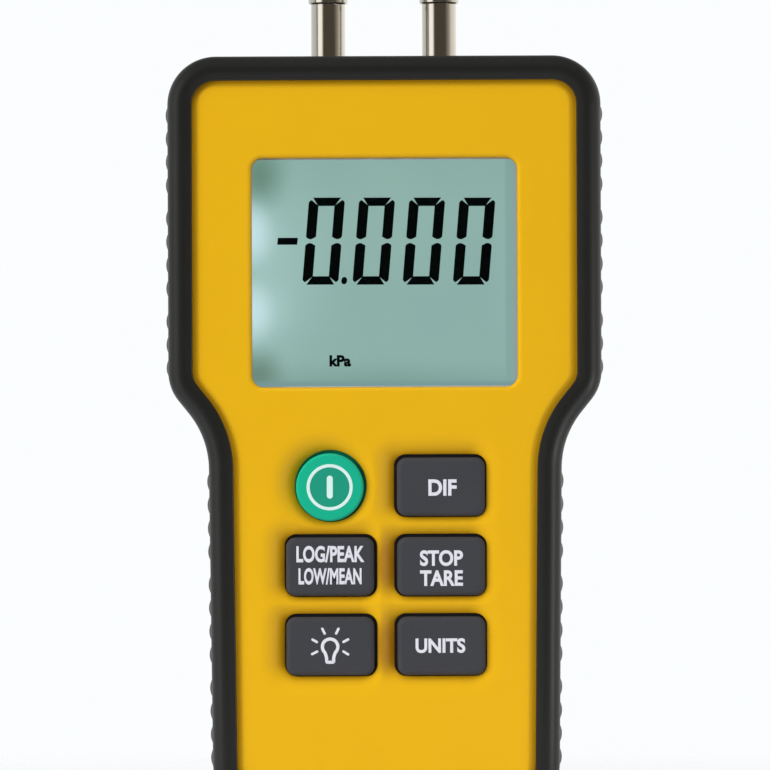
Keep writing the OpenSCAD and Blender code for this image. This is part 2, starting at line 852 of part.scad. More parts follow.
module tube_left() {
    color("#d9d6c8") mirror([1, 0, 0]) tube();
}

// Pressure sensor on the back of the board, with its two nipples under the tubes
sensor_w = 18;
// How far the sensor reaches behind the axis of its nipples
sensor_reach = 3.4;
sensor_back_y = split_y + sensor_reach;
sensor_lid_t = 1.4;
sensor_lid_in = 1;
sensor_leg_pitch = 2.54;
sensor_leg_w = 0.8;
sensor_leg_out = 1.6;
sensor_legs = 6;

module pressure_sensor() {
    color("#e4e2da") union() {
        block([-sensor_w / 2, board_back_y, sensor_low_z],
            [sensor_w / 2, sensor_back_y - sensor_lid_t, sensor_top_z]);
        lid_w = sensor_w - 2 * sensor_lid_in;
        block([-lid_w / 2, sensor_back_y - sensor_lid_t - over, sensor_low_z + sensor_lid_in],
            [lid_w / 2, sensor_back_y, sensor_top_z]);
        for (side = [-1, 1])
            translate([side * nipple_pitch / 2, split_y, sensor_top_z - over])
                difference() {
                    cylinder(r = spigot_r, h = nipple_len + over, $fn = 48);
                    translate([0, 0, over]) cylinder(r = spigot_bore_r, h = nipple_len + over, $fn = 48);
                }
        for (k = [0 : sensor_legs - 1])
            translate([(k - (sensor_legs - 1) / 2) * sensor_leg_pitch, board_back_y, sensor_low_z])
                block([-sensor_leg_w / 2, 0, -sensor_leg_out], [sensor_leg_w / 2, sensor_leg_w / 2, over]);
    }
}

// Keys
key_top_y = face_y - key_proud;
key_flange_w = 0.8;
key_flange_t = 0.8;
key_flange_y = face_in_y + 2 * loose_gap;
key_skirt = 1.3;
key_base_y = key_flange_y + key_flange_t + key_skirt;

// Section of a key as inset and depth, from its top to its underside
key_section = concat(
    edge_arc(0, key_top_y, key_edge_r, 1),
    [[0, key_flange_y], [-key_gap - key_flange_w, key_flange_y],
        [-key_gap - key_flange_w, key_flange_y + key_flange_t],
        [0, key_flange_y + key_flange_t], [0, key_base_y]]);

module square_key(place) {
    corners = rect_corners(key_open_w - 2 * key_gap, key_open_h - 2 * key_gap, key_open_r - key_gap);
    stack([for (p = key_section) ring(shifted(outline(corners, p[0]), place), p[1])]);
}

module round_key(place) {
    key_r = power_open_r - key_gap;
    turned_y(place, concat(
        [[0, key_top_y]],
        [for (p = key_section) [key_r - p[0], p[1]]],
        [[0, key_base_y]]));
}

module key_power() {
    color("#23b088") round_key(key_rest(0, 0));
}

module key_differential() {
    color("#454648") square_key(key_rest(1, 0));
}

module key_record() {
    color("#454648") square_key(key_rest(0, 1));
}

module key_hold() {
    color("#454648") square_key(key_rest(1, 1));
}

module key_light() {
    color("#454648") square_key(key_rest(0, 2));
}

module key_scale() {
    color("#454648") square_key(key_rest(1, 2));
}

// Silicone mat under the keys: a sheet on the board with a plunger on a thin cone for each key
mat_t = 1.2;
mat_margin = 1.4;
plunger_r = 3.5;
mat_hole_r = 4.8;
web_t = 0.45;
pill_r = 2;
pill_t = 0.8;
// Room left between a pressed pill and the board
press_room = 0.05;
pill_low_y = board_y - key_travel - press_room;
plunger_low_y = pill_low_y - pill_t;
mat_y = board_y - mat_t;

module plunger(place) {
    web_top_y = plunger_low_y - 2 * web_t;
    turned_y(place, [
        [0, key_base_y], [plunger_r, key_base_y], [plunger_r, web_top_y],
        [mat_hole_r, mat_y], [mat_hole_r + web_t, mat_y], [mat_hole_r + web_t, board_y],
        [mat_hole_r, board_y], [mat_hole_r, mat_y + web_t],
        [plunger_r, plunger_low_y], [0, plunger_low_y]]);
}

mat_places = [for (row = [0 : 2]) for (column = [0, 1]) key_place(column, row)];

module keypad_mat() {
    half_w = key_pitch_x / 2 + mat_hole_r + mat_margin;
    low_z = key_place(0, 2)[1] - mat_hole_r - mat_margin;
    high_z = key_place(0, 0)[1] + mat_hole_r + mat_margin;
    color("#5d6063") union() {
        difference() {
            block([-half_w, mat_y, low_z], [half_w, board_y, high_z]);
            for (p = mat_places) rod_y(p, mat_hole_r, mat_y - over, board_y + over);
        }
        for (p = mat_places) plunger(p);
    }
}

module pill(place) {
    color("#1b1b1d") rod_y(place, pill_r, plunger_low_y, pill_low_y);
}

module pill_power() {
    pill(key_place(0, 0));
}

module pill_differential() {
    pill(key_place(1, 0));
}

module pill_record() {
    pill(key_place(0, 1));
}

module pill_hold() {
    pill(key_place(1, 1));
}

module pill_light() {
    pill(key_place(0, 2));
}

module pill_scale() {
    pill(key_place(1, 2));
}

// Battery, its tub, its clip and its door
// The battery fills the depth behind the board and the height below the board's tall parts
pad_t = 1;
battery_gap = 0.35;
tub_floor_t = 1.2;
tub_wall = 1.6;
snap_t = 1.4;
lead_r = 0.55;
lead_bend_r = 1.2;
door_in_y = case_back_y - door_t;
battery_back_y = door_in_y - pad_t;
battery_front_y = board_back_y + board_room + tub_floor_t;
battery_d = battery_back_y - battery_front_y;
battery_mid_y = battery_back_y - battery_d / 2;
tub_half_w = battery_w / 2 + battery_gap;
battery_low_z = 10.6;
tub_low_z = battery_low_z - loose_gap;
tub_top_z = sensor_low_z - parts_band_h - tub_wall;
snap_top_z = tub_top_z - lead_bend_r - 2 * lead_r - loose_gap;
terminal_top_z = snap_top_z - snap_t;
battery_top_z = terminal_top_z - terminal_h;
battery_h = battery_top_z - battery_low_z;

battery_corner_r = 2.4;
battery_rim = 0.4;
terminal_pitch = 12.7;
plus_r = 2.9;
minus_r = 4;
minus_bore_r = 2.9;

function rect_outline(w, d, r) = outline(rect_corners(w, d, r));

module battery() {
    color("#33373f") translate([0, battery_mid_y, 0]) union() {
        translate([0, 0, battery_low_z]) linear_extrude(battery_h - battery_rim)
            polygon(rect_outline(battery_w, battery_d, battery_corner_r));
        translate([0, 0, battery_top_z - battery_rim - over]) linear_extrude(battery_rim + over)
            polygon(outline(rect_corners(battery_w, battery_d, battery_corner_r), battery_rim));
        translate([-terminal_pitch / 2, 0, battery_top_z - over])
            cylinder(r = plus_r, h = terminal_h + over, $fn = 48);
        translate([terminal_pitch / 2, 0, battery_top_z - over]) difference() {
            cylinder(r = minus_r, h = terminal_h + over, $fn = 48);
            translate([0, 0, over]) cylinder(r = minus_bore_r, h = terminal_h + over, $fn = 48);
        }
    }
}

snap_side = 0.4;
snap_edge = 2.4;
snap_w = battery_w - 2 * snap_side;
snap_d = battery_d - 2 * snap_edge;
cup_wall = 1;

module battery_snap() {
    color("#1d1d1f") translate([0, battery_mid_y, 0]) union() {
        translate([0, 0, terminal_top_z + pin_gap]) linear_extrude(snap_t - pin_gap)
            polygon(rect_outline(snap_w, snap_d, battery_corner_r));
        translate([-terminal_pitch / 2, 0, battery_top_z + pin_gap]) difference() {
            cylinder(r = plus_r + loose_gap + cup_wall, h = terminal_h + snap_t / 2, $fn = 48);
            translate([0, 0, -over]) cylinder(r = plus_r + loose_gap, h = terminal_h + over, $fn = 48);
        }
        translate([terminal_pitch / 2, 0, battery_top_z + pin_gap])
            cylinder(r = minus_bore_r - loose_gap, h = terminal_h + snap_t / 2, $fn = 48);
    }
}

// Lead that leaves the clip upwards, bends forwards and ends on the board
lead_x = 3;
lead_start_y = battery_mid_y - snap_d / 2 + 2 * lead_r;
lead_bend_y = lead_start_y - lead_bend_r;

module lead(x) {
    translate([x, lead_bend_y, snap_top_z]) {
        rotate([90, 0, 90]) rotate_extrude(angle = 90, $fn = 48)
            translate([lead_bend_r, 0]) circle(r = lead_r, $fn = 24);
        translate([0, 0, lead_bend_r]) rotate([90, 0, 0])
            cylinder(r = lead_r, h = lead_bend_y - board_back_y, $fn = 48);
    }
}

module lead_red() {
    color("#b3261e") lead(-lead_x);
}

module lead_black() {
    color("#1b1b1b") lead(lead_x);
}

// Door with a round hinge edge at its lower end and a thumb notch at its upper end
door_ledge = 1.8;
door_w = 2 * tub_half_w + 2 * door_ledge;
hinge_r = 1.5;
hinge_pin_r = 0.9;
hinge_pin_len = 1.5;
door_axis_y = case_back_y - hinge_r;
door_axis_z = tub_low_z - hinge_r - loose_gap;
door_overlap = 0.6;
door_top_z = tub_top_z + door_overlap;
notch_w = 14;
notch_t = 0.6;
notch_pitch = 1.8;
notch_count = 4;

module battery_door() {
    color("#e3ae18") difference() {
        union() {
            block([-door_w / 2, door_in_y, door_axis_z], [door_w / 2, case_back_y, door_top_z]);
            rod_x(door_axis_y, door_axis_z, hinge_r, -door_w / 2, door_w / 2);
            pin_reach = door_w / 2 + hinge_pin_len;
            rod_x(door_axis_y, door_axis_z, hinge_pin_r, -pin_reach, pin_reach);
        }
        for (k = [1 : notch_count])
            block([-notch_w / 2, case_back_y - notch_t, door_top_z - k * notch_pitch - notch_t],
                [notch_w / 2, case_back_y + over, door_top_z - k * notch_pitch]);
    }
}

// Rim of the battery left free round the pad
pad_rim = 4.1;

module battery_pad() {
    color("#2e2e30") block([pad_rim - battery_w / 2, battery_back_y, battery_low_z + pad_rim],
        [battery_w / 2 - pad_rim, door_in_y, battery_top_z - pad_rim]);
}

// Tilt stand with a round hinge edge at its upper end
stand_hinge_r = 1.4;
stand_pin_r = 1;
stand_pin_len = 1.9;
stand_axis_y = case_back_y - stand_hinge_r;
// Distance from the top of the boot to the axis of the stand
stand_axis_drop = 16.4;
stand_axis_z = boot_h - stand_axis_drop;
stand_low_z = door_top_z + stand_door_gap;
stand_len = stand_axis_z - stand_low_z;
stand_in_y = case_back_y - stand_t;
stand_corner_r = 4;
// Sunk panel in the outer face of the stand
stand_rim = 5;
stand_panel_t = 0.5;

module tilt_stand() {
    color("#2b2c2e") difference() {
        union() {
            slab(stand_outline(stand_w / 2, 0, stand_len, stand_corner_r), stand_in_y, case_back_y);
            rod_x(stand_axis_y, stand_axis_z, stand_hinge_r, -stand_w / 2, stand_w / 2);
            pin_reach = stand_w / 2 + stand_pin_len;
            rod_x(stand_axis_y, stand_axis_z, stand_pin_r, -pin_reach, pin_reach);
        }
        slab(stand_outline(stand_w / 2 - stand_rim, -stand_rim, stand_len - stand_rim, stand_corner_r / 2),
            case_back_y - stand_panel_t, case_back_y + over);
    }
}

// Outline with square upper corners, from a height above the hinge axis to a depth below it
function stand_outline(half_w, above, below, r) =
    let (foot = [for (p = rect_outline(2 * half_w, 2 * below, r)) if (p[1] < 0) p])
    shifted(concat(
        [for (p = foot) if (p[0] > 0) p],
        [[half_w, above], [-half_w, above]],
        [for (p = foot) if (p[0] < 0) p]), [0, stand_axis_z]);

// Rear half of the case
recess_in_y = stand_in_y - loose_gap;
recess_wall = 1.5;
recess_half_w = stand_w / 2 + panel_gap;
hinge_block_t = 1.6;

module rear_case() {
    color("#e3ae18") difference() {
        union() {
            difference() {
                stack([for (p = rear_shell_section) ring(body_outline(p[0]), p[1])]);
                slab(body_outline(cavity_inset), split_y - over, rear_in_y);
            }
            tongue();
            for (p = case_screw_places) rod_y(p, case_boss_r, split_y, rear_in_y + over);
            block([-cradle_half_w, split_y, cradle_top_z - cradle_t],
                [cradle_half_w, rear_in_y + over, cradle_top_z]);
            tub_outside();
            stand_housing();
        }
        tub_cuts();
        stand_cuts();
        for (p = case_screw_places) {
            rod_y(p, case_screw_r + 2 * pin_gap, split_y - over, rear_in_y + over);
            rod_y(p, case_screw_head_r + loose_gap, case_back_y - case_screw_sink, case_back_y + over);
        }
        port_cuts();
    }
}

rear_shell_section = concat(
    [[case_inset, split_y]],
    reversed(edge_arc(case_inset, case_back_y, case_edge_r, -1)));

module tongue() {
    difference() {
        slab(body_outline(cavity_inset - tongue_t), split_y - tongue_h, split_y + over);
        slab(body_outline(cavity_inset), split_y - tongue_h - over, split_y + 2 * over);
        port_cuts();
    }
}

module tub_outside() {
    block([-tub_half_w - tub_wall, battery_front_y - tub_floor_t, tub_low_z - tub_wall],
        [tub_half_w + tub_wall, rear_in_y + over, tub_top_z + tub_wall]);
    reach = door_w / 2 + hinge_pin_len + hinge_block_t;
    cover = hinge_r + hinge_block_t;
    block([-reach, door_axis_y - cover, door_axis_z - cover], [reach, rear_in_y + over, tub_low_z]);
}

module tub_cuts() {
    block([-tub_half_w, battery_front_y, tub_low_z], [tub_half_w, case_back_y + over, tub_top_z]);
    block([-door_w / 2 - panel_gap, door_in_y - loose_gap / 2, door_axis_z],
        [door_w / 2 + panel_gap, case_back_y + over, door_top_z + panel_gap]);
    room = hinge_r + panel_gap;
    block([-door_w / 2 - panel_gap, door_axis_y - room, door_axis_z - room],
        [door_w / 2 + panel_gap, case_back_y + over, door_axis_z + room]);
    pin_reach = door_w / 2 + hinge_pin_len + loose_gap;
    rod_x(door_axis_y, door_axis_z, hinge_pin_r + pin_gap, -pin_reach, pin_reach);
    block([-lead_x - 3 * lead_r, battery_front_y - tub_floor_t - over, snap_top_z],
        [lead_x + 3 * lead_r, battery_front_y + over, tub_top_z]);
}

module stand_housing() {
    side = recess_half_w + recess_wall;
    block([-side, recess_in_y - recess_wall, stand_low_z - panel_gap - recess_wall],
        [side, rear_in_y + over, stand_axis_z + stand_hinge_r + panel_gap + recess_wall]);
    reach = stand_w / 2 + stand_pin_len + hinge_block_t;
    cover = stand_hinge_r + hinge_block_t;
    block([-reach, stand_axis_y - cover, stand_axis_z - cover],
        [reach, rear_in_y + over, stand_axis_z + cover]);
}

// Scoop in which a finger reaches the foot of the stand
finger_w = 18;
finger_h = 4;
finger_t = 1.6;

module stand_cuts() {
    slab(stand_outline(recess_half_w, 0, stand_len + panel_gap, stand_corner_r + panel_gap),
        recess_in_y, case_back_y + over);
    slab(shifted(rect_outline(finger_w, 2 * finger_h, stand_corner_r / 2), [0, stand_low_z]),
        case_back_y - finger_t, case_back_y + over);
    room = stand_hinge_r + panel_gap;
    block([-recess_half_w, stand_axis_y - room, stand_axis_z - room],
        [recess_half_w, case_back_y + over, stand_axis_z + room]);
    pin_reach = stand_w / 2 + stand_pin_len + loose_gap;
    rod_x(stand_axis_y, stand_axis_z, stand_pin_r + pin_gap, -pin_reach, pin_reach);
}

// Screws: a pan head with a cross recess on a round shank
recess_share = 0.6;
recess_slot_share = 0.22;

module screw(place, seat_y, tip_y, shank_r, head_r, head_h) {
    difference() {
        turned_y(place, [
            [0, tip_y], [shank_r / 2, tip_y], [shank_r, tip_y + shank_r], [shank_r, seat_y],
            [head_r, seat_y], [head_r, seat_y + head_h / 2], [head_r - head_h / 2, seat_y + head_h],
            [0, seat_y + head_h]]);
        for (a = [0, 90]) translate([place[0], seat_y + head_h / 2, place[1]]) rotate([0, a, 0])
            translate([-head_r * recess_share, 0, -head_r * recess_slot_share / 2])
                cube([2 * head_r * recess_share, head_h, head_r * recess_slot_share]);
    }
}

module case_screws() {
    color("#9a9c9e") for (p = case_screw_places)
        screw(p, case_back_y - case_screw_sink, split_y - case_thread_len,
            case_screw_r, case_screw_head_r, case_screw_head_h);
}

module board_screws() {
    color("#9a9c9e") for (p = board_screw_places)
        screw(p, board_back_y, board_y - board_thread_len,
            board_screw_r, board_screw_head_r, board_screw_head_h);
}

rubber_boot();
front_case();
rear_case();
window_lens();
lens_tape();
lcd_glass();
lcd_polariser();
lcd_frame();
zebra_strips();
backlight_guide();
backlight_leds();
circuit_board();
main_chip();
amplifier_chips();
capacitors();
crystal_can();
chip_resistors();
pressure_sensor();
port_left();
port_right();
tube_left();
tube_right();
keypad_mat();
key_power();
key_differential();
key_record();
key_hold();
key_light();
key_scale();
pill_power();
pill_differential();
pill_record();
pill_hold();
pill_light();
pill_scale();
battery();
battery_snap();
lead_red();
lead_black();
battery_door();
battery_pad();
tilt_stand();
case_screws();
board_screws();
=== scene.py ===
# %% [markdown]
# # A handheld pressure meter in a rubber boot
# The CAD model gives every part its place and size. This lesson dresses it: a moulded rubber
# boot, a yellow plastic face with dished key openings, a lit display behind a clear window,
# silky keys and two nickel-plated hose barbs. Lengths are in millimetres until a mesh is made,
# and Blender's own unit here is the metre.

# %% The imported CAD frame
import math

import bmesh
import bpy
import numpy as np
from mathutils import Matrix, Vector
from mathutils.geometry import delaunay_2d_cdt


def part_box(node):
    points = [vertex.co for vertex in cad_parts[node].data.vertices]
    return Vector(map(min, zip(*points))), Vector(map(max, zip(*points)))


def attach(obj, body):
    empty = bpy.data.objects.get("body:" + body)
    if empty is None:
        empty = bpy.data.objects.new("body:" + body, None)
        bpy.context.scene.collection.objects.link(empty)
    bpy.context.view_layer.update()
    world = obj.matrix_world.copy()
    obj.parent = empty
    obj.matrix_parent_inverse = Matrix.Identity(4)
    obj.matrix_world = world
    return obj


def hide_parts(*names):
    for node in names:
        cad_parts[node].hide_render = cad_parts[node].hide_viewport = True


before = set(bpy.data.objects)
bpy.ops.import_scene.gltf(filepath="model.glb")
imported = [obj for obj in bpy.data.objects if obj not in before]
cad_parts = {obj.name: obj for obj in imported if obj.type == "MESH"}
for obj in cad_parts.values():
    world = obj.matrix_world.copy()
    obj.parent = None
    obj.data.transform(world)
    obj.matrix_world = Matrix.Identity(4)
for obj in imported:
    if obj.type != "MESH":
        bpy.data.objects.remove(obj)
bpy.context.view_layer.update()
MM = 0.001

# %% [markdown]
# ## Camera
# A product photograph like this one is taken from about a metre away with a long lens, level
# with the middle of the meter, so that its sides stay upright. The lens is set from the size
# that one millimetre has in the picture. A quarter of a degree of roll keeps the lean of the
# photograph.

# %% Camera
SENSOR_MM = 36.0
LENS_MM = 265.9
EYE_MM = (0.0, -1000.0, 78.03)
ROLL_DEGREES = 0.23

camera = bpy.data.objects.new("camera", bpy.data.cameras.new("camera"))
camera.data.sensor_width = SENSOR_MM
camera.data.lens = LENS_MM
camera.location = Vector(EYE_MM) * MM
camera.rotation_euler = [math.radians(d) for d in (90, ROLL_DEGREES, 0)]
bpy.context.scene.collection.objects.link(camera)
bpy.context.scene.camera = camera
bpy.context.scene.view_settings.view_transform = "Standard"
print("picture width at the meter in mm:", round(SENSOR_MM / LENS_MM * -EYE_MM[1], 1))

# %% [markdown]
# ## Colours and material nodes
# A colour picked from a screen is an sRGB hex value, while a shader works with linear
# light, so one function turns the first into the second. A second small function adds a node,
# sets its sockets and links what feeds it.

# %% Colour and node helpers
def linear(hex_colour):
    """Linear red, green, blue and alpha of an sRGB hex value, by the sRGB curve."""
    levels = np.array([int(hex_colour[i:i + 2], 16) for i in (1, 3, 5)]) / 255
    light = np.where(levels <= 0.04045, levels / 12.92, ((levels + 0.055) / 1.055) ** 2.4)
    return (*light.tolist(), 1.0)


def node(tree, kind, inputs=None, **settings):
    """Adds a node. Inputs maps a socket's name or number to a value or to another socket."""
    made = tree.nodes.new(kind)
    for name, value in settings.items():
        setattr(made, name, value)
    for key, value in (inputs or {}).items():
        socket = made.inputs[key]
        if isinstance(value, bpy.types.NodeSocket):
            tree.links.new(value, socket)
        else:
            socket.default_value = value
    return made


def new_material(name):
    """An empty material with its output node: returns the material, its tree and the output."""
    made = bpy.data.materials.new(name)
    made.use_nodes = True
    made.node_tree.nodes.clear()
    print("material", name)
    return made, made.node_tree, made.node_tree.nodes.new("ShaderNodeOutputMaterial")


def object_place(tree):
    """Position of the shaded point in metres, from Object coordinates."""
    return node(tree, "ShaderNodeTexCoord").outputs["Object"]


def pattern_scale(size_mm):
    """Noise scale at which one blob is about size_mm across, as the coordinates are in metres."""
    return 1 / (size_mm * MM)


# %% A moulded finish, and colours laid over it
EDGE_R_MM = 0.15


def finish_of(name, colours, roughness, grain_mm, bump_mm, blotch_mm=14.0, rough_spread=0.06,
              **sockets):
    """A moulded or painted finish: the two colours are mixed by slow blotches, the roughness
    wanders by rough_spread, and fine grain of grain_mm lifts the surface by bump_mm. Edges
    are shaded as if they were rounded by EDGE_R_MM, as every mould and tool leaves them."""
    made, tree, out = new_material(name)
    place = object_place(tree)
    slow = node(tree, "ShaderNodeTexNoise", {
        "Vector": place, "Scale": pattern_scale(blotch_mm), "Detail": 3.0}).outputs["Fac"]
    fine = node(tree, "ShaderNodeTexNoise", {
        "Vector": place, "Scale": pattern_scale(grain_mm)}).outputs["Fac"]
    colour = node(tree, "ShaderNodeMix", {
        0: slow, 6: linear(colours[0]), 7: linear(colours[1])}, data_type="RGBA").outputs[2]
    rough = node(tree, "ShaderNodeMapRange", {
        "Value": fine, "To Min": roughness - rough_spread, "To Max": roughness + rough_spread})
    worn = node(tree, "ShaderNodeBevel", {"Radius": EDGE_R_MM * MM}, samples=4).outputs[0]
    bump = node(tree, "ShaderNodeBump", {
        "Height": fine, "Distance": bump_mm * MM, "Normal": worn})
    shader = node(tree, "ShaderNodeBsdfPrincipled", {
        "Base Color": colour, "Roughness": rough.outputs[0], "Normal": bump.outputs[0],
        **sockets})
    tree.links.new(shader.outputs[0], out.inputs["Surface"])
    return made


def spot_mask(tree, place, centre_mm, reach_mm, inner=0.0, most=1.0, depth_mm=(0, math.inf)):
    """Soft oval mask: at its most at the centre (x, z) and 0 past reach_mm from it. It runs
    through the whole piece, unless depth_mm gives its middle in y and its reach from there."""
    scale = [1 / (r * MM) for r in (reach_mm[0], depth_mm[1], reach_mm[1])]
    middles = (centre_mm[0], depth_mm[0], centre_mm[1])
    shift = [-s * MM * middle for s, middle in zip(scale, middles)]
    scaled = node(tree, "ShaderNodeMapping", {
        "Vector": place, "Location": shift, "Scale": scale}).outputs[0]
    away = node(tree, "ShaderNodeVectorMath", {0: scaled}, operation="LENGTH").outputs["Value"]
    return node(tree, "ShaderNodeMapRange", {
        "Value": away, "From Min": 1.0, "From Max": inner, "To Max": most},
        interpolation_type="SMOOTHSTEP").outputs[0]


def overlay(material, mask, hex_colour):
    """Lays a colour over the base colour of a finish where the mask is 1."""
    tree = material.node_tree
    shader = next(n for n in tree.nodes if n.type == "BSDF_PRINCIPLED")
    below = shader.inputs["Base Color"].links[0].from_socket
    mixed = node(tree, "ShaderNodeMix", {
        0: mask, 6: below, 7: linear(hex_colour)}, data_type="RGBA")
    tree.links.new(mixed.outputs[2], shader.inputs["Base Color"])


# %% [markdown]
# ## Meshes from arrays
# Every new piece is a grid of points worked out with numpy. Neighbouring rows and columns are
# joined by quads, the last column is joined to the first, and so is the last row where the
# surface closes both ways. One function hands all of it to Blender in a single step.

# %% Mesh helpers
SHARP_DEGREES = 35.0


def add_object(name, data):
    """A new object, linked to the scene."""
    made = bpy.data.objects.new(name, data)
    bpy.context.scene.collection.objects.link(made)
    return made


def grid_quads(grid, close_rows=False, start=0):
    """Quads between neighbours of a grid, whose last column joins its first. Point (i, j) has
    the number start + i * columns + j."""
    rows, columns = grid.shape[:2]
    i, j = np.meshgrid(np.arange(rows - (not close_rows)), np.arange(columns), indexing="ij")
    below, right = (i + 1) % rows, (j + 1) % columns
    corners = (i * columns + j, i * columns + right, below * columns + right, below * columns + j)
    return np.stack([c.ravel() for c in corners], axis=1) + start


def make_piece(name, points, face_sets, sharp_degrees=SHARP_DEGREES, merge_mm=0.002):
    """Mesh object from points in mm and arrays of faces. Doubles are merged, so that seams and
    poles are closed, faces point outwards, and edges past the angle are shaded as edges."""
    mesh = bpy.data.meshes.new(name)
    faces = [face for faces in face_sets for face in faces.tolist()]
    mesh.from_pydata((np.asarray(points).reshape(-1, 3) * MM).tolist(), [], faces)
    work = bmesh.new()
    work.from_mesh(mesh)
    bmesh.ops.remove_doubles(work, verts=work.verts, dist=merge_mm * MM)
    bmesh.ops.recalc_face_normals(work, faces=work.faces)
    work.to_mesh(mesh)
    work.free()
    mesh.shade_smooth()
    mesh.set_sharp_from_angle(angle=math.radians(sharp_degrees))
    made = add_object(name, mesh)
    print(f"{name}: {len(mesh.polygons)} faces, box in mm "
          f"{[round(1000 * c, 2) for c in (*made.bound_box[0], *made.bound_box[6])]}")
    return made


def dress(piece, body, material, slot_name, *replaced):
    """Gives a piece its body and its material, and hides the CAD nodes that it stands for."""
    piece.data.materials.clear()
    piece.data.materials.append(material)
    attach(piece, body)
    if replaced:
        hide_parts(*replaced)


# %% [markdown]
# ## The outline that boot and case share
# Seen from the front, the meter is a wide head over a narrower grip. Eight rounded corners
# describe it. At each corner an arc turns about a fixed centre, so the same outline moved
# inwards stays parallel to itself. The function returns places along the outline and the
# inward direction at each, which is all that a section needs to be carried round.

# %% Outline of the body
BODY_CORNERS = np.array([[29.9, 0, 12.7], [30.6, 69, 15.6], [37.5, 77.6, 7.8], [37.5, 135, 8.4]])
BODY_CORNERS = np.vstack([BODY_CORNERS, BODY_CORNERS[::-1] * [-1, 1, 1]])


def rounded_outline(corners, arc_mm, run_mm):
    """Places and inward normals round a closed outline of corners given as x, z and radius.
    A corner's arc lies at radius r about here + r (n1 + n2) / (1 + n1 . n2), where n1 and n2
    are the inward normals of the sides that meet there. Steps are about arc_mm and run_mm."""
    spots, radii = corners[:, :2], corners[:, 2]
    along = np.roll(spots, -1, axis=0) - spots
    along /= np.linalg.norm(along, axis=1)[:, None]
    after = np.stack([-along[:, 1], along[:, 0]], axis=1)
    places, inward = [], []
    for k, (here, r, n1, n2) in enumerate(zip(spots, radii, np.roll(after, 1, axis=0), after)):
        side = np.sign(n1[0] * n2[1] - n1[1] * n2[0])
        turn = math.acos(np.clip(n1 @ n2, -1, 1))
        centre = here + side * r * (n1 + n2) / (1 + n1 @ n2)
        a = np.linspace(0, turn, max(3, math.ceil(turn * r / arc_mm) + 1))[:, None]
        n = np.cos(a) * n1 + side * np.sin(a) * np.array([-n1[1], n1[0]])
        places.append(centre - side * r * n)
        inward.append(n)
    ends = [(places[k][-1], places[(k + 1) % len(places)][0]) for k in range(len(places))]
    runs = [max(2, math.ceil(np.linalg.norm(b - a) / run_mm) + 1) for a, b in ends]
    shares = [np.linspace(0, 1, count)[1:-1, None] for count in runs]
    straight = [a + t * (b - a) for (a, b), t in zip(ends, shares)]
    held = [np.repeat(n[-1:], len(s), axis=0) for n, s in zip(inward, straight)]
    return (np.vstack([v for pair in zip(places, straight) for v in pair]),
            np.vstack([v for pair in zip(inward, held) for v in pair]))


def carry(section, places, inward):
    """Every section point (inset, depth) at every place: x and z are place + inset * inward,
    and y is the depth. Returns a grid of section points by places."""
    section = np.asarray(section, float)
    flat = places[None] + section[:, 0, None, None] * inward[None]
    depth = np.broadcast_to(section[:, 1, None], flat.shape[:2])
    return np.stack([flat[..., 0], depth, flat[..., 1]], axis=-1)


def quarter(inset, y, r, way, steps=12):
    """Quarter arc of a section, from the plane at y to the side at inset. Way is 1 where the
    piece lies behind the plane and -1 where it lies before it."""
    a = np.linspace(0, math.pi / 2, steps + 1)
    return np.stack([inset + r * (1 - np.sin(a)), y + way * r * (1 - np.cos(a))], axis=1)


# %% [markdown]
# ## Rubber boot
# The boot is moulded in one piece from black rubber. Its section is a channel: a lip over the
# face, a side wall, and a lip over the back. The front lip sinks a little towards the face, by
# a cubic curve, so it hardly shades the yellow. The section is carried round the outline, and
# the gripping ribs are then pushed out of the side wall: a rib is a parabola up the side, which
# fades out smoothly towards the front and the back.

# %% Boot surface
FRONT_Y, BACK_Y = -18.0, 18.0
RIM_Y, CASE_BACK_Y = -16.6, 16.8
BOOT_WALL, FRONT_LIP, BACK_LIP = 2.0, 4.25, 5.0
BOOT_EDGE_R, LIP_EDGE_R, BEAD_R = 2.6, 0.5, 0.3
BEAD_FALL, FALL_PAST, FALL_ROWS = 0.35, 0.4, 10
RIB_H, RIB_W, RIB_PITCH, RIB_FLOOR = 0.42, 3.2, 4.05, 0.0525
RIB_ENDS = (11.0, 13.0)
RIB_TOPS = {125.0: 4, 107.1: 4, 89.2: 3, 61.3: 4, 43.4: 4, 25.5: 4}
PORT_X, PORT_HOLE_R = 9.75, 3.5


def smoothstep(value, low, high):
    """Cubic rise from 0 at low to 1 at high."""
    t = np.clip((value - low) / (high - low), 0, 1)
    return t * t * (3 - 2 * t)


def rib_rise(z):
    """Height of the ribbed side above the plain one at height z: each rib of half width w is
    floor + h (1 - (dz / w)^2), and between the ribs of a group the floor is left."""
    rise = np.zeros_like(z)
    for top, count in RIB_TOPS.items():
        middles = top - RIB_PITCH * np.arange(count)
        away = (z[..., None] - middles) / (RIB_W / 2)
        bump = np.where(np.abs(away) < 1, RIB_FLOOR + RIB_H * (1 - away ** 2), 0).max(axis=-1)
        group = (z < middles[0] + RIB_W / 2) & (z > middles[-1] - RIB_W / 2)
        rise = np.maximum(rise, np.where(group, np.maximum(bump, RIB_FLOOR), 0))
    return rise


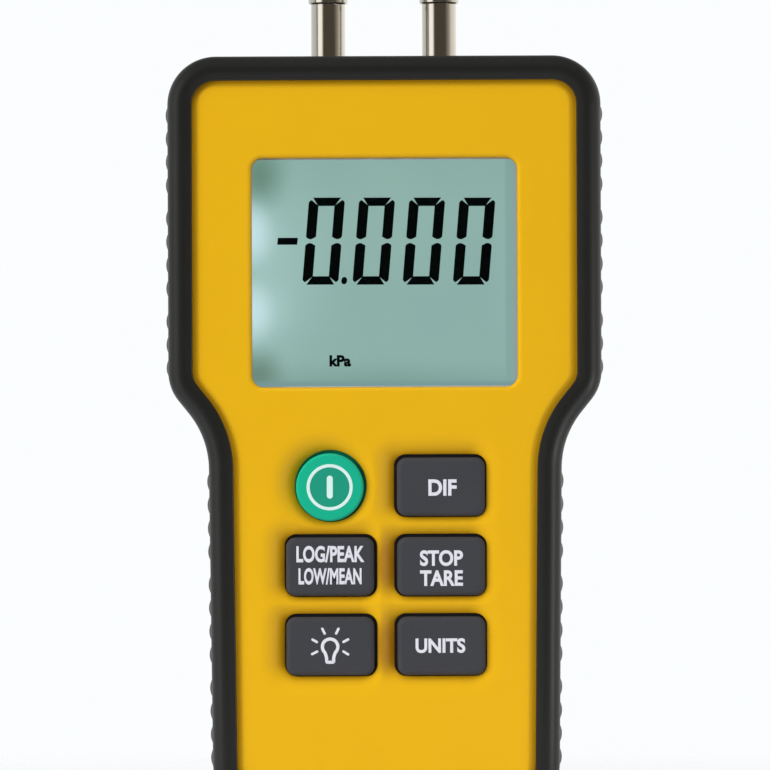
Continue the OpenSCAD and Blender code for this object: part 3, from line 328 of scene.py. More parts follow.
wall_y = np.array([-14.6, -13.8, -13.2, -12.8, -12.4, -12, -11.6, -11.2, -10.8, -8, -4, 0])
wall_y = np.concatenate([wall_y, -wall_y[-2::-1]])
fall_in = np.linspace(BOOT_EDGE_R, FRONT_LIP - BEAD_R, FALL_ROWS)[1:]
fall_y = FRONT_Y + BEAD_FALL * smoothstep(fall_in, BOOT_EDGE_R, FRONT_LIP + FALL_PAST)
boot_section = np.vstack([
    quarter(0, FRONT_Y, BOOT_EDGE_R, 1),
    np.stack([np.zeros_like(wall_y), wall_y], axis=1),
    quarter(0, BACK_Y, BOOT_EDGE_R, -1)[::-1],
    quarter(0, BACK_Y, LIP_EDGE_R, -1, steps=6) * [-1, 1] + [BACK_LIP, 0],
    [[BACK_LIP, CASE_BACK_Y], [BOOT_WALL, CASE_BACK_Y], [BOOT_WALL, RIM_Y], [FRONT_LIP, RIM_Y]],
    quarter(0, fall_y[-1], BEAD_R, 1, steps=6)[::-1] * [-1, 1] + [FRONT_LIP, 0],
    np.stack([fall_in, fall_y], axis=1)[-2::-1]])

places, inward = rounded_outline(BODY_CORNERS, arc_mm=0.7, run_mm=0.42)
boot_grid = carry(boot_section, places, inward)
outer = (boot_section[:, 0] < 1e-6)[:, None]
fade = 1 - smoothstep(np.abs(boot_grid[..., 1]), *RIB_ENDS)
on_side = (np.abs(inward[:, 0]) > 0.99)[None]
push = np.where(outer & on_side, fade * rib_rise(boot_grid[..., 2]), 0)
boot_grid[..., 0] -= push * inward[None, :, 0]
boot_grid[..., 2] -= push * inward[None, :, 1]
boot = make_piece("boot_skin", boot_grid, [grid_quads(boot_grid, close_rows=True)])

# %% [markdown]
# ## Holes for the hose barbs
# The barbs leave the boot through two round holes in its top wall. Two plain rods are cut out
# of it by a Boolean, and the result is kept as the mesh.

# %% Cut the barb holes
def circle(count):
    """Unit circle as x and z, counter-clockwise."""
    a = np.linspace(0, 2 * math.pi, count, endpoint=False)
    return np.stack([np.cos(a), np.sin(a)], axis=1)


def cut_out(piece, tools):
    """Takes the tools out of the piece by an exact Boolean, and keeps the result as its mesh."""
    for tool in tools:
        cut = piece.modifiers.new("cut", "BOOLEAN")
        cut.operation, cut.solver, cut.object = "DIFFERENCE", "EXACT", tool
        graph = bpy.context.evaluated_depsgraph_get()
        mesh = bpy.data.meshes.new_from_object(piece.evaluated_get(graph))
        piece.modifiers.remove(cut)
        piece.data = mesh
        bpy.data.objects.remove(tool)
    piece.data.shade_smooth()
    piece.data.set_sharp_from_angle(angle=math.radians(SHARP_DEGREES))


ROD_LOW, ROD_HIGH, ROD_SIDES = 131, 137, 64
rod = [(0, ROD_LOW), (PORT_HOLE_R, ROD_LOW), (PORT_HOLE_R, ROD_HIGH), (0, ROD_HIGH)]
rods = []
for x in (-PORT_X, PORT_X):
    grid = np.array([[(x + r * c, r * s, z) for c, s in circle(ROD_SIDES)] for r, z in rod])
    rods.append(make_piece(f"rod_{x:+.0f}", grid, [grid_quads(grid)]))
cut_out(boot, rods)
print("boot triangles:", sum(len(p.vertices) - 2 for p in boot.data.polygons))

# Moulded rubber is nearly black, and its matt grain spreads the light into a soft broad sheen
rubber = finish_of("moulded_black_rubber", ("#171817", "#1b1c1b"), 0.44, 0.35, 0.012,
                   IOR=1.45, **{"Specular IOR Level": 0.45})
dress(boot, "housing", rubber, "boot_rubber", "rubber_boot")

# %% [markdown]
# ## Yellow face
# The front half of the case has a flat face with a window and six key openings, each in a
# shallow scoop that guides the finger and is deepest on its upper left. Flat regions with holes
# are filled by a constrained triangulation, and each edge is a profile carried round its
# outline. A narrow flat row beside every edge keeps the large face's shading undisturbed.

# %% Soft profiles and filled regions
def softened(profile, reach):
    """Rounds a densely drawn profile by a moving average over reach points to each side."""
    padded = np.pad(profile, ((reach, reach), (0, 0)), mode="edge")
    window = np.ones(2 * reach + 1) / (2 * reach + 1)
    return np.stack([np.convolve(padded[:, k], window, "valid") for k in (0, 1)], axis=1)


def dense(points, step):
    """Points of a polyline at about the given step."""
    points = np.asarray(points, float)
    length = np.concatenate([[0], np.cumsum(np.linalg.norm(np.diff(points, axis=0), axis=1))])
    at = np.linspace(0, length[-1], math.ceil(length[-1] / step) + 1)
    return np.stack([np.interp(at, length, points[:, k]) for k in (0, 1)], axis=1)


def even_odd(points, loops):
    """True where a ray to the right from a point crosses the loops an odd number of times."""
    a = np.vstack(loops)
    b = np.vstack([np.roll(loop, -1, axis=0) for loop in loops])
    x, z = points[:, 0, None], points[:, 1, None]
    crosses = (a[:, 1] > z) != (b[:, 1] > z)
    rise = np.where(crosses, b[:, 1] - a[:, 1], 1)
    reach = (b[:, 0] - a[:, 0]) * (z - a[:, 1]) / rise + a[:, 0]
    return (crosses & (x < reach)).sum(axis=1) % 2 == 1


def fill(loops, loose=np.empty((0, 2))):
    """Triangles over the region between an outer loop and the loops of its holes. Loose points
    inside it are used too."""
    points = np.vstack([*loops, loose])
    starts = np.cumsum([0] + [len(loop) for loop in loops[:-1]])
    rings = [start + np.arange(len(loop)) for start, loop in zip(starts, loops)]
    edges = np.vstack([np.stack([ring, np.roll(ring, -1)], axis=1) for ring in rings])
    made = delaunay_2d_cdt([Vector(p) for p in points], edges.tolist(), [], 0, 1e-5)
    triangles = np.array(made[2])
    spots = np.array([tuple(v) for v in made[0]])
    keep = even_odd(spots[triangles].mean(axis=1), loops)
    return spots, triangles[keep]


# %% Openings and scoops
FACE_Y, FACE_IN_Y, SPLIT_Y = -17.0, -14.8, 0.0
CASE_INSET, CAVITY_INSET, CASE_EDGE_R = 2.05, 4.25, 1.0
SLOPE_FOOT, SLOPE_TOP = 4.3, 5.5
KEY_OPEN_W, KEY_OPEN_H, KEY_OPEN_R = 15.95, 10.8, 2.0
POWER_OPEN_D, POWER_SIDES = 12.4, 144
SCOOP_REACH, SCOOP_DEPTH, SCOOP_SHIFT = 3.5, 1.0, np.array([-1.0, 0.3])
WINDOW_W, WINDOW_H, WINDOW_R, WINDOW_BEVEL = 45.9, 39.6, 2.0, 0.4
KEYS = ("power", "differential", "record", "hold", "light", "scale")


def middle(name):
    """Middle of a CAD node's box as x and z, in mm."""
    low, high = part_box(name)
    return np.array([(low.x + high.x) / 2, (low.z + high.z) / 2]) / MM


open_places = {name: middle("pill_" + name) for name in KEYS}
window_place = middle("window_lens")
print("middle of the window in mm:", window_place.round(2))


def rectangle(width, height, r):
    """Corners of a rounded rectangle about the origin, counter-clockwise."""
    return np.array([[width / 2, -height / 2, r], [width / 2, height / 2, r],
                     [-width / 2, height / 2, r], [-width / 2, -height / 2, r]])


def opening_of(name):
    """Outline of a key opening about its own middle."""
    if name == "power":
        ring = circle(POWER_SIDES)
        return ring * POWER_OPEN_D / 2, -ring
    return rounded_outline(rectangle(KEY_OPEN_W, KEY_OPEN_H, KEY_OPEN_R), arc_mm=0.2, run_mm=0.5)


def outside(name, spots):
    """Distance of places from a key opening: length of what reaches past the straight sides,
    less the corner radius."""
    size = np.array([POWER_OPEN_D, POWER_OPEN_D] if name == "power" else [KEY_OPEN_W, KEY_OPEN_H])
    r = POWER_OPEN_D / 2 if name == "power" else KEY_OPEN_R
    past = np.abs(spots - open_places[name]) - (size / 2 - r)
    return np.linalg.norm(np.maximum(past, 0), axis=-1) - r


def scoop_fall(spots):
    """How far the face has sunk at each place. One scoop falls by depth * t^2, where t is 0 at
    its rim and 1 at the opening's outline moved by the shift, so it leaves the flat face
    without an edge. Where scoops meet, the cube root of the sum of their cubes rounds the
    ridge between them."""
    shares = [1 - outside(name, spots - SCOOP_SHIFT) / SCOOP_REACH for name in KEYS]
    return SCOOP_DEPTH * (np.maximum(shares, 0) ** 6).sum(axis=0) ** (1 / 3)


# %% [markdown]
# Three kinds of edge are carried round their outlines. The outer one slopes from the face to
# the rim under the boot's lip, goes down the side of the case and comes up again inside it. The
# window's has a small soft bevel. An opening's starts in the scoop, turns in over a tiny radius
# and runs straight down to the inner face.

# %% Edges of the face
RING_REACH, RING_ROWS, THROAT_EDGE_R, THROAT_DROP = 0.9, 10, 0.15, 0.3
FLAT_ROW, BEVEL_WALL, INNER_ROW = 1.8, 1.2, 0.6
SLOPE_START, SLOPE_END, INNER_EDGE = 6.7, 3.4, 5.0
ring_offsets = np.linspace(RING_REACH, 0, RING_ROWS)
throat = quarter(0, 0, THROAT_EDGE_R, 1, steps=4)[1:] * [-1, 1]
throat = np.vstack([throat, [[0, THROAT_DROP]]])
bevel = dense([[-FLAT_ROW, FACE_Y], [-WINDOW_BEVEL, FACE_Y], [0, FACE_Y + WINDOW_BEVEL],
               [0, FACE_Y + BEVEL_WALL]], step=0.05)
bevel = softened(bevel, reach=9)
window_section = np.vstack([bevel, [[0, FACE_IN_Y], [-INNER_ROW, FACE_IN_Y]]])
slope = dense([[SLOPE_START, FACE_Y], [SLOPE_TOP, FACE_Y], [SLOPE_FOOT, RIM_Y],
               [SLOPE_END, RIM_Y]], step=0.06)
shell_section = np.vstack([
    softened(slope, reach=4), quarter(CASE_INSET, RIM_Y, CASE_EDGE_R, 1),
    [[CASE_INSET, SPLIT_Y], [CAVITY_INSET, SPLIT_Y], [CAVITY_INSET, FACE_IN_Y],
     [INNER_EDGE, FACE_IN_Y]]])

shell_grids = [carry(shell_section, *rounded_outline(BODY_CORNERS, arc_mm=0.7, run_mm=2.0))]
spots, normals = rounded_outline(rectangle(WINDOW_W, WINDOW_H, WINDOW_R), arc_mm=0.2, run_mm=2.0)
shell_grids.append(carry(window_section, spots + window_place, normals))
for name in KEYS:
    spots, normals = opening_of(name)
    rings = np.stack([-ring_offsets, np.zeros_like(ring_offsets)], axis=1)
    grid = carry(rings, spots + open_places[name], normals)
    grid[..., 1] = FACE_Y + scoop_fall(grid[..., [0, 2]].reshape(-1, 2)).reshape(grid.shape[:2])
    wall = np.repeat(grid[-1:], len(throat), axis=0) + carry(throat, spots * 0, normals)
    foot = carry([[0, FACE_IN_Y], [-INNER_ROW, FACE_IN_Y]], spots + open_places[name], normals)
    shell_grids.append(np.concatenate([grid, wall, foot]))
print("edges carried round:", [grid.shape[:2] for grid in shell_grids])

# %% [markdown]
# Between the edges lie the face and the inner face. The rows next to an opening follow its
# outline, so that its edge is clean. Past them the face gets a fine lattice of points, which
# sinks with the scoops. Its rows are staggered, so that the triangles come out even.

# %% Build the face
LATTICE_STEP, LATTICE_REACH, LATTICE_MARGIN = 0.3, 4.9, 0.7
LATTICE_X, LATTICE_Z = (-22.8, 22.4), (22.2, 71.7)
x, z = np.meshgrid(np.arange(*LATTICE_X, LATTICE_STEP), np.arange(*LATTICE_Z, LATTICE_STEP))
stagger = (np.arange(len(x)) % 2)[:, None] * LATTICE_STEP / 2
lattice = np.stack([(x + stagger).ravel(), z.ravel()], axis=1)
nearest = np.min([outside(name, lattice) for name in KEYS], axis=0)
clear = nearest > RING_REACH + LATTICE_MARGIN * LATTICE_STEP
lattice = lattice[clear & (nearest < LATTICE_REACH)]

shell_points, shell_faces, count = [], [], 0
for grid in shell_grids:
    shell_faces.append(grid_quads(grid, start=count))
    shell_points.append(grid.reshape(-1, 3))
    count += len(shell_points[-1])
for row, loose in ((0, lattice), (-1, lattice[:0])):
    spots, triangles = fill([grid[row][:, [0, 2]] for grid in shell_grids], loose)
    depth = FACE_Y + scoop_fall(spots) if row == 0 else np.full(len(spots), FACE_IN_Y)
    shell_points.append(np.stack([spots[:, 0], depth, spots[:, 1]], axis=1))
    shell_faces.append(triangles + count)
    count += len(spots)
face = make_piece("face_shell", np.vstack(shell_points), shell_faces, sharp_degrees=40)

# Injection moulded ABS is an even satin yellow, with a grain too fine to see
yellow_abs = finish_of("moulded_yellow_abs", ("#e3ae09", "#e8b30b"), 0.5, 0.25, 0.006,
                       IOR=1.53, **{"Specular IOR Level": 0.2})
dress(face, "housing", yellow_abs, "yellow_abs", "front_case")

# %% [markdown]
# Painted shade: a brown colour is laid over the yellow beside the rubber lip and in the scoops,
# where shade falls. Ambient occlusion finds such places, because little of the open side is seen
# from them, and the brown is laid over the yellow there. It is densest in the two narrow valleys
# between neighbours in the lower rows of keys, where oval masks paint more shade. They reach only
# a few millimetres into the depth, because the back is of the same yellow.

# %% Painted shade in the hollows
PAINTED_SHADE_COLOUR, SHADE_REACH_MM, SHADE_SHARE = "#8c4508", 3.0, 0.42
SHADE_STARTS, SHADE_FULL = 0.95, 0.35
VALLEYS, VALLEY_REACH = [(0.2, 47.0), (0.2, 32.9)], (3.0, 6.6)
VALLEY_INNER, VALLEY_SHARE, VALLEY_DEPTH = 0.3, 0.5, (FACE_Y, 6.0)
tree = yellow_abs.node_tree
openness = node(tree, "ShaderNodeAmbientOcclusion", {"Distance": SHADE_REACH_MM * MM}, samples=6)
film = node(tree, "ShaderNodeMapRange", {
    "Value": openness.outputs["AO"], "From Min": SHADE_STARTS, "From Max": SHADE_FULL,
    "To Max": SHADE_SHARE}).outputs[0]
# Painted shade: the brown goes where ambient occlusion finds little open side
overlay(yellow_abs, film, PAINTED_SHADE_COLOUR)
# Painted shade: oval masks lay more brown in the valleys between the lower keys
for valley in VALLEYS:
    valley_shade = spot_mask(tree, object_place(tree), valley, VALLEY_REACH, VALLEY_INNER,
                     VALLEY_SHARE, VALLEY_DEPTH)
    overlay(yellow_abs, valley_shade, PAINTED_SHADE_COLOUR)
# Prints how many valleys get more painted shade
print("valleys with more film:", len(VALLEYS))

# %% [markdown]
# ## Keys
# Each key is a moulded cap with a soft edge. Its surface starts at a pole in the middle of the
# top, widens ring by ring to the edge, rolls over it, runs down the skirt to the flange that
# keeps it in the case, and closes at a second pole underneath. The caps rest a little low and
# outwards in their openings, which shows as a dark line above each and on its inner side.

# %% Key caps
KEY_GAP, KEY_EDGE_R, POWER_EDGE_R, KEY_TOP_Y = 0.35, 0.9, 0.5, -17.5
KEY_FLANGE_W, KEY_FLANGE_Y, KEY_FLANGE_END, KEY_BASE_Y = 0.8, -14.6, -13.8, -12.5
KEY_CROWN, CROWN_ROWS = 0.04, 8


def cap_grid(name):
    """Grid of a key cap: rings shrink linearly to the pole, over a top that is crowned by
    crown * (1 - s^2)^2 at share s of the way to the edge, and follow the section below it."""
    spots, normals = opening_of(name)
    spots = spots + KEY_GAP * normals
    flange = -KEY_GAP - KEY_FLANGE_W
    side = np.vstack([quarter(0, KEY_TOP_Y, POWER_EDGE_R if name == "power" else KEY_EDGE_R, 1),
                      [[0, KEY_FLANGE_Y], [flange, KEY_FLANGE_Y], [flange, KEY_FLANGE_END],
                       [0, KEY_FLANGE_END], [0, KEY_BASE_Y]]])
    walls = carry(side, spots, normals)
    s = np.linspace(0, 1, CROWN_ROWS + 1)[:-1, None]
    top = walls[0][None] * [1, 0, 1] * s[..., None]
    top[..., 1] = KEY_TOP_Y - KEY_CROWN * (1 - s ** 2) ** 2
    base = walls[-1:] * [0, 1, 0]
    place = middle("key_" + name)
    return np.concatenate([top, walls, base]) + np.array([place[0], 0, place[1]])


key_caps = {}
for name in KEYS:
    grid = cap_grid(name)
    key_caps[name] = make_piece(f"cap_{name}", grid, [grid_quads(grid)])

# %% [markdown]
# The keys are moulded plastic with a silky skin, which shows broad soft lights and no clear
# mirror image. The green one is a slightly deeper green inside its printed ring, which a round
# mask about the middle of the key gives. The mask ends under the ring's ink.

# %% Key materials
RING_OUTER_R, RING_STROKE, UNDER_INK = 4.0, 0.57, 0.2
SILK = {"IOR": 1.5, "Specular IOR Level": 0.2}
silk_grey = finish_of("silk_grey_key_plastic", ("#3b3c41", "#404146"), 0.6, 0.2, 0.004, **SILK)
silk_green = finish_of("silk_green_key_plastic", ("#0cad89", "#10b18d"), 0.55, 0.2, 0.004, **SILK)
ring_place = middle("key_power")
inside_ring = spot_mask(silk_green.node_tree, object_place(silk_green.node_tree), ring_place,
                        (RING_OUTER_R - UNDER_INK,) * 2, inner=0.95)
overlay(silk_green, inside_ring, "#1a967b")
for name, cap in key_caps.items():
    finish, slot_name = (silk_green, "green_key") if name == "power" else (silk_grey, "grey_key")
    dress(cap, name + "_key", finish, slot_name, "key_" + name)

# %% [markdown]
# ## Printed legends
# The keys of such a meter are pad printed in white. Letters come from Blender's own font: the
# text is made a mesh, scaled to its printed size, and set into the key so that a few hundredths
# of a millimetre of ink stand proud. Such ink is an even white without shine.

# %% Lettering
INK_PROUD, INK_SET_IN = 0.02, 0.1
INK_Y, INK_FOOT_Y = KEY_TOP_Y - KEY_CROWN - INK_PROUD, KEY_TOP_Y + INK_SET_IN


def lettering(name, lines, depths, bold):
    """Words as one mesh. Each line is (text, x, z, width, height) in mm: the letters are scaled
    to that box, and extruded between the two depths."""
    parts = []
    for words, x, z, width, height in lines:
        curve = bpy.data.curves.new(name, "FONT")
        curve.body, curve.offset, curve.extrude = words, bold, 0.5
        text = add_object(name, curve)
        bpy.context.view_layer.update()
        mesh = bpy.data.meshes.new_from_object(text)
        co = np.array([v.co[:] for v in mesh.vertices], np.float32)
        share = (co - co.min(0)) / (co.max(0) - co.min(0))
        set_in = np.stack([x + (share[:, 0] - 0.5) * width,
                           depths[0] + (depths[1] - depths[0]) * share[:, 2],
                           z + (share[:, 1] - 0.5) * height], axis=1)
        parts.append((set_in, [tuple(p.vertices) for p in mesh.polygons]))
        bpy.data.objects.remove(text)
        bpy.data.meshes.remove(mesh)
    starts = np.cumsum([0] + [len(p) for p, _ in parts])
    faces = [tuple(v + s for v in face) for (_, fs), s in zip(parts, starts) for face in fs]
    mesh = bpy.data.meshes.new(name)
    mesh.from_pydata((np.vstack([p for p, _ in parts]) * MM).tolist(), [], faces)
    print(f"{name}: {len(faces)} faces")
    return add_object(name, mesh)


# %% Flat signs and strokes
def plate(name, outlines, front, back):
    """Flat pieces between two depths. Each outline is filled, copied to the back, and walled."""
    points, faces, count = [], [], 0
    for outline in outlines:
        spots, triangles = fill([outline])
        n, ring = len(spots), np.arange(len(outline))
        for depth in (front, back):
            points.append(np.stack([spots[:, 0], np.full(n, depth), spots[:, 1]], axis=1))
        ahead = np.roll(ring, -1)
        faces += [triangles + count, triangles[:, ::-1] + count + n,
                  np.stack([ring, ring + n, ahead + n, ahead], axis=1) + count]
        count += 2 * n
    return make_piece(name, np.vstack(points), faces, sharp_degrees=30, merge_mm=0.0001)


def rounded_bar(a, b, width, steps=10):
    """Outline of a stroke with round ends from a to b."""
    a, b = np.asarray(a, float), np.asarray(b, float)
    along = (b - a) / np.linalg.norm(b - a)
    turn = np.linspace(-math.pi / 2, math.pi / 2, steps)[:, None]
    across = np.array([-along[1], along[0]])
    end = np.cos(turn) * along + np.sin(turn) * across
    return np.vstack([b + width / 2 * end, a - width / 2 * end])


def band(name, path, width):
    """Closed stroke of the given width along a closed path, between the ink's depths: its outer
    and inner edge lie half a width along the path's own normal."""
    along = np.roll(path, -1, axis=0) - np.roll(path, 1, axis=0)
    along /= np.linalg.norm(along, axis=1)[:, None]
    normal = np.stack([-along[:, 1], along[:, 0]], axis=1)
    half = width / 2
    section = [[-half, INK_FOOT_Y], [-half, INK_Y], [half, INK_Y], [half, INK_FOOT_Y]]
    grid = carry(section, path, normal)
    return make_piece(name, grid, [grid_quads(grid, close_rows=True)])


# %% [markdown]
# The legends are generic ones of the size that such keys carry: plain words for the modes, the
# ring and bar of a mains switch, and a lamp with rays for the backlight.

# %% Legends on the keys
ink = finish_of("white_pad_printing_ink", ("#dbdbe6", "#e3e3ed"), 0.5, 0.3, 0.002)
WORDS = {
    "differential": [("DIF", 9.87, 60.28, 4.9, 2.85)],
    "record": [("LOG/PEAK", -9.54, 48.85, 11.78, 2.87), ("LOW/MEAN", -9.62, 45.02, 10.9, 2.87)],
    "hold": [("STOP", 9.64, 48.09, 7.44, 2.74), ("TARE", 9.63, 44.64, 7.44, 2.73)],
    "scale": [("UNITS", 9.4, 32.97, 8.6, 2.56)]}
for name, lines in WORDS.items():
    words = lettering("legend_" + name, lines, (INK_FOOT_Y, INK_Y), bold=0.035)
    dress(words, name + "_key", ink, "grey_key")

mint_ink = finish_of("pale_mint_printing_ink", ("#d2efeb", "#d9f3f0"), 0.5, 0.3, 0.002)
ring_path = ring_place + circle(96) * (RING_OUTER_R - RING_STROKE / 2)
ring = band("sign_power_ring", ring_path, RING_STROKE)
dress(ring, "power_key", mint_ink, "green_key")
BAR_LOW, BAR_HIGH, BAR_W = [0.02, -1.45], [0.02, 1.5], 1.05
bar_outline = rounded_bar(ring_place + BAR_LOW, ring_place + BAR_HIGH, BAR_W)
bar = plate("sign_power_bar", [bar_outline], INK_Y, INK_FOOT_Y)
dress(bar, "power_key", mint_ink, "green_key")

LAMP_PLACE, LAMP_R, LAMP_STROKE = np.array([-9.66, 32.85]), 1.34, 0.56
LAMP_ARC, OVERLAP, RAY_W = (-48, 228), 6, 0.44
a = np.linspace(*np.radians(LAMP_ARC), 60)
glass = np.stack([np.cos(a), np.sin(a)], axis=1) * LAMP_R
neck = [[-0.72, -1.5], [-0.6, -2.0], [-0.6, -2.68], [0.6, -2.68], [0.6, -2.0], [0.72, -1.5]]
lamp_path = dense(np.vstack([glass, neck, glass[:1]]), step=0.06)[:-1]
overlapped = np.vstack([lamp_path[-OVERLAP:], lamp_path, lamp_path[:OVERLAP]])
lamp_path = softened(overlapped, reach=3)[OVERLAP:-OVERLAP]
lamp = band("sign_lamp", lamp_path + LAMP_PLACE, LAMP_STROKE)
dress(lamp, "light_key", ink, "grey_key")
RAYS = [((-11.0, 35.95), (-10.6, 35.15)), ((-8.2, 35.95), (-8.6, 35.15)),
        ((-12.7, 34.1), (-11.95, 33.68)), ((-6.55, 34.1), (-7.33, 33.68)),
        ((-12.75, 31.6), (-11.9, 32.02)), ((-6.55, 31.52), (-7.35, 32.02))]
lamp_rays = plate("sign_lamp_rays", [rounded_bar(a, b, RAY_W) for a, b in RAYS],
                  INK_Y, INK_FOOT_Y)
dress(lamp_rays, "light_key", ink, "grey_key")

# %% [markdown]
# ## Lit display
# The display is a twisted-nematic glass with a light guide behind it, lit by two diodes at its
# left edge. Its colour is a pale sea green that brightens to near white-blue beside each diode,
# and dims in the corners that they don't reach. Soft oval masks lay these over each other, and
# narrow strips edge the picture area on the right and below. The colour is given off as light,
# as a lit panel does, from a dark glass that adds little of its own.

# %% Display material
DRIFT_MM = 22.0
display, tree, out = new_material("backlit_twisted_nematic_glass")
place = object_place(tree)
drift = node(tree, "ShaderNodeTexNoise", {
    "Vector": place, "Scale": pattern_scale(DRIFT_MM), "Detail": 1.0}).outputs["Fac"]
glow = node(tree, "ShaderNodeMix", {
    0: drift, 6: linear("#86aba6"), 7: linear("#93b5ab")}, data_type="RGBA").outputs[2]
PATCHES = [((-23.0, 97.8), (19.0, 27.0), "#a0c4be"), ((24.5, 97.0), (9.0, 30.0), "#90b5ae"),
           ((-21.6, 114.6), (6.6, 8.4), "#6b8e80"), ((-21.8, 79.6), (6.2, 6.6), "#6c897c"),
           ((0.0, 75.5), (44.0, 8.0), "#749890"),
           ((-24.0, 104.0), (8.4, 8.6), "#b2d3d2"), ((-24.0, 91.0), (10.2, 8.6), "#b2d3d2"),
           ((-24.0, 104.2), (5.8, 7.2), "#cdebf0"), ((-24.0, 90.8), (6.2, 7.0), "#cdebf0")]
for centre, reach, colour in PATCHES:
    mask = spot_mask(tree, place, centre, reach)
    glow = node(tree, "ShaderNodeMix", {
        0: mask, 6: glow, 7: linear(colour)}, data_type="RGBA").outputs[2]
STRIPS = [("X", 20.7, 21.3, "#84a8a0"), ("X", 22.0, 22.6, "#8ea1a1"),
          ("Z", 79.0, 78.2, "#78999a")]
parted = node(tree, "ShaderNodeSeparateXYZ", {0: place})
for axis, start_mm, end_mm, colour in STRIPS:
    strip = node(tree, "ShaderNodeMapRange", {
        "Value": parted.outputs[axis], "From Min": start_mm * MM, "From Max": end_mm * MM},
        interpolation_type="SMOOTHSTEP").outputs[0]
    glow = node(tree, "ShaderNodeMix", {
        0: strip, 6: glow, 7: linear(colour)}, data_type="RGBA").outputs[2]
shader = node(tree, "ShaderNodeBsdfPrincipled", {
    "Base Color": linear("#2b3836"), "Roughness": 0.3, "IOR": 1.5, "Specular IOR Level": 0.2,
    "Emission Color": glow, "Emission Strength": 1.0})
tree.links.new(shader.outputs[0], out.inputs["Surface"])

# %% [markdown]
# ## Digits
# A lit reading is made of seven-segment digits, slanted by a twelfth. Each segment is one
# polygon. They are drawn upright from a digit's lower left corner, leant over all at once, and
# made thin plates on the front of the glass.

# %% Segments of the reading
GLASS_Y = -12.6
DIGIT_W, DIGIT_H, LEAN = 6.25, 15.1, 0.084
STROKE_V, STROKE_H = 1.74, 1.45
DIGIT_PLACES = [(-14.31, 95.5), (-5.61, 95.47), (3.09, 95.44), (11.81, 95.4)]
half = DIGIT_H / 2
CAP_BAR = [0, DIGIT_H] + np.array([
    [0.7, 0], [DIGIT_W - 0.7, 0], [DIGIT_W - 1.68, -STROKE_H], [1.68, -STROKE_H]])
POST = [0, DIGIT_H] + np.array([
    [0, -0.85], [0.16, -0.6], [0.42, -0.42], [0.56, -0.5], [STROKE_V, -1.42],
    [STROKE_V, 0.75 - half], [1.28, 0.5 - half], [0.95, 0.34 - half], [0.6, 0.34 - half],
    [0.24, 0.5 - half], [0, 0.78 - half]])


def mirrored(outline, axis, about):
    """Outline reflected about a line, with its order turned round so that it still runs the
    same way."""
    flipped = outline[::-1].copy()
    flipped[:, axis] = 2 * about - flipped[:, axis]
    return flipped


left_posts = [POST, mirrored(POST, 1, half)]
zero = [CAP_BAR, mirrored(CAP_BAR, 1, half), *left_posts,
        *(mirrored(p, 0, DIGIT_W / 2) for p in left_posts)]
segments = [s + [x, z] + LEAN * s[:, 1:] * [1, 0] for x, z in DIGIT_PLACES for s in zero]
MINUS = [[-18.62, 102.45], [-15.15, 102.45], [-15.02, 103.65], [-18.5, 103.65]]
POINT_LOW, POINT_HIGH, POINT_W = (-7.04, 96.03), (-6.98, 96.33), 0.98
SEGMENT_T = 0.03
SEGMENT_Y = GLASS_Y - SEGMENT_T
segments += [np.array(MINUS), rounded_bar(POINT_LOW, POINT_HIGH, POINT_W)]
reading = plate("reading_segments", segments, SEGMENT_Y, GLASS_Y)
UNIT = [("kPa", -7.75, 82.25, 3.75, 2.0)]
unit = lettering("reading_unit", UNIT, (GLASS_Y, SEGMENT_Y), bold=0.045)
# Crystal that is switched on lets no light out: black, with next to no shine of its own
segment_black = finish_of("switched_liquid_crystal", ("#000404", "#000606"), 0.35, 0.4, 0.0,
                          **{"Specular IOR Level": 0.1})
for piece in (reading, unit):
    dress(piece, "housing", segment_black, "display_glass")

# %% [markdown]
# ## Clear window
# The window is a cast acrylic plate, set just below the face. Seen straight on it is almost
# invisible and adds only a thin sheen, so a low alpha gives it, and light still reaches the
# display behind.

# %% Window material
clear_acrylic = finish_of("cast_clear_acrylic", ("#020303", "#030404"), 0.06, 0.4, 0.0,
                          rough_spread=0.0, IOR=1.49, Alpha=0.04)

# %% [markdown]
# ## Metal
# The barbs are turned from brass and nickel plated: a warm white metal with the faint rings
# that a lathe tool leaves. The rings are bands of noise, which is scaled far more along the
# axis than across it. The screws' zinc is greyer and duller.

# %% Nickel and steel
RING_SPREAD, ACROSS_SCALE = 0.25, 3.0


def turned_metal(name, colours, roughness, ring_mm, lift_mm, axis):
    """Turned metal: fine rings along one axis change the roughness and lift the surface."""
    made, tree, out = new_material(name)
    place = object_place(tree)
    squeeze = [pattern_scale(ring_mm) if a == axis else ACROSS_SCALE for a in "XYZ"]
    stretched = node(tree, "ShaderNodeMapping", {"Vector": place, "Scale": squeeze}).outputs[0]
    rings = node(tree, "ShaderNodeTexNoise", {
        "Vector": stretched, "Scale": 1.0}).outputs["Fac"]
    colour = node(tree, "ShaderNodeMix", {
        0: rings, 6: linear(colours[0]), 7: linear(colours[1])}, data_type="RGBA").outputs[2]
    rough = node(tree, "ShaderNodeMapRange", {
        "Value": rings, "To Min": roughness * (1 - RING_SPREAD),
        "To Max": roughness * (1 + RING_SPREAD)}).outputs[0]
    worn = node(tree, "ShaderNodeBevel", {"Radius": EDGE_R_MM * MM}, samples=4).outputs[0]
    bump = node(tree, "ShaderNodeBump", {
        "Height": rings, "Distance": lift_mm * MM, "Normal": worn}).outputs[0]
    shader = node(tree, "ShaderNodeBsdfPrincipled", {
        "Base Color": colour, "Roughness": rough, "Metallic": 1.0, "Normal": bump})
    tree.links.new(shader.outputs[0], out.inputs["Surface"])
    return made


nickel = turned_metal("nickel_plated_brass", ("#c8c3ba", "#cfcac1"), 0.14, 0.25, 0.0006, "Z")
steel = turned_metal("zinc_plated_steel", ("#b4b6b8", "#c2c4c5"), 0.3, 0.3, 0.001, "Y")

# %% [markdown]
# ## The parts that keep their CAD shape
# The back, the stand, the battery and everything on the circuit board already have their real
# shapes, so they only need the finish that their slot names.

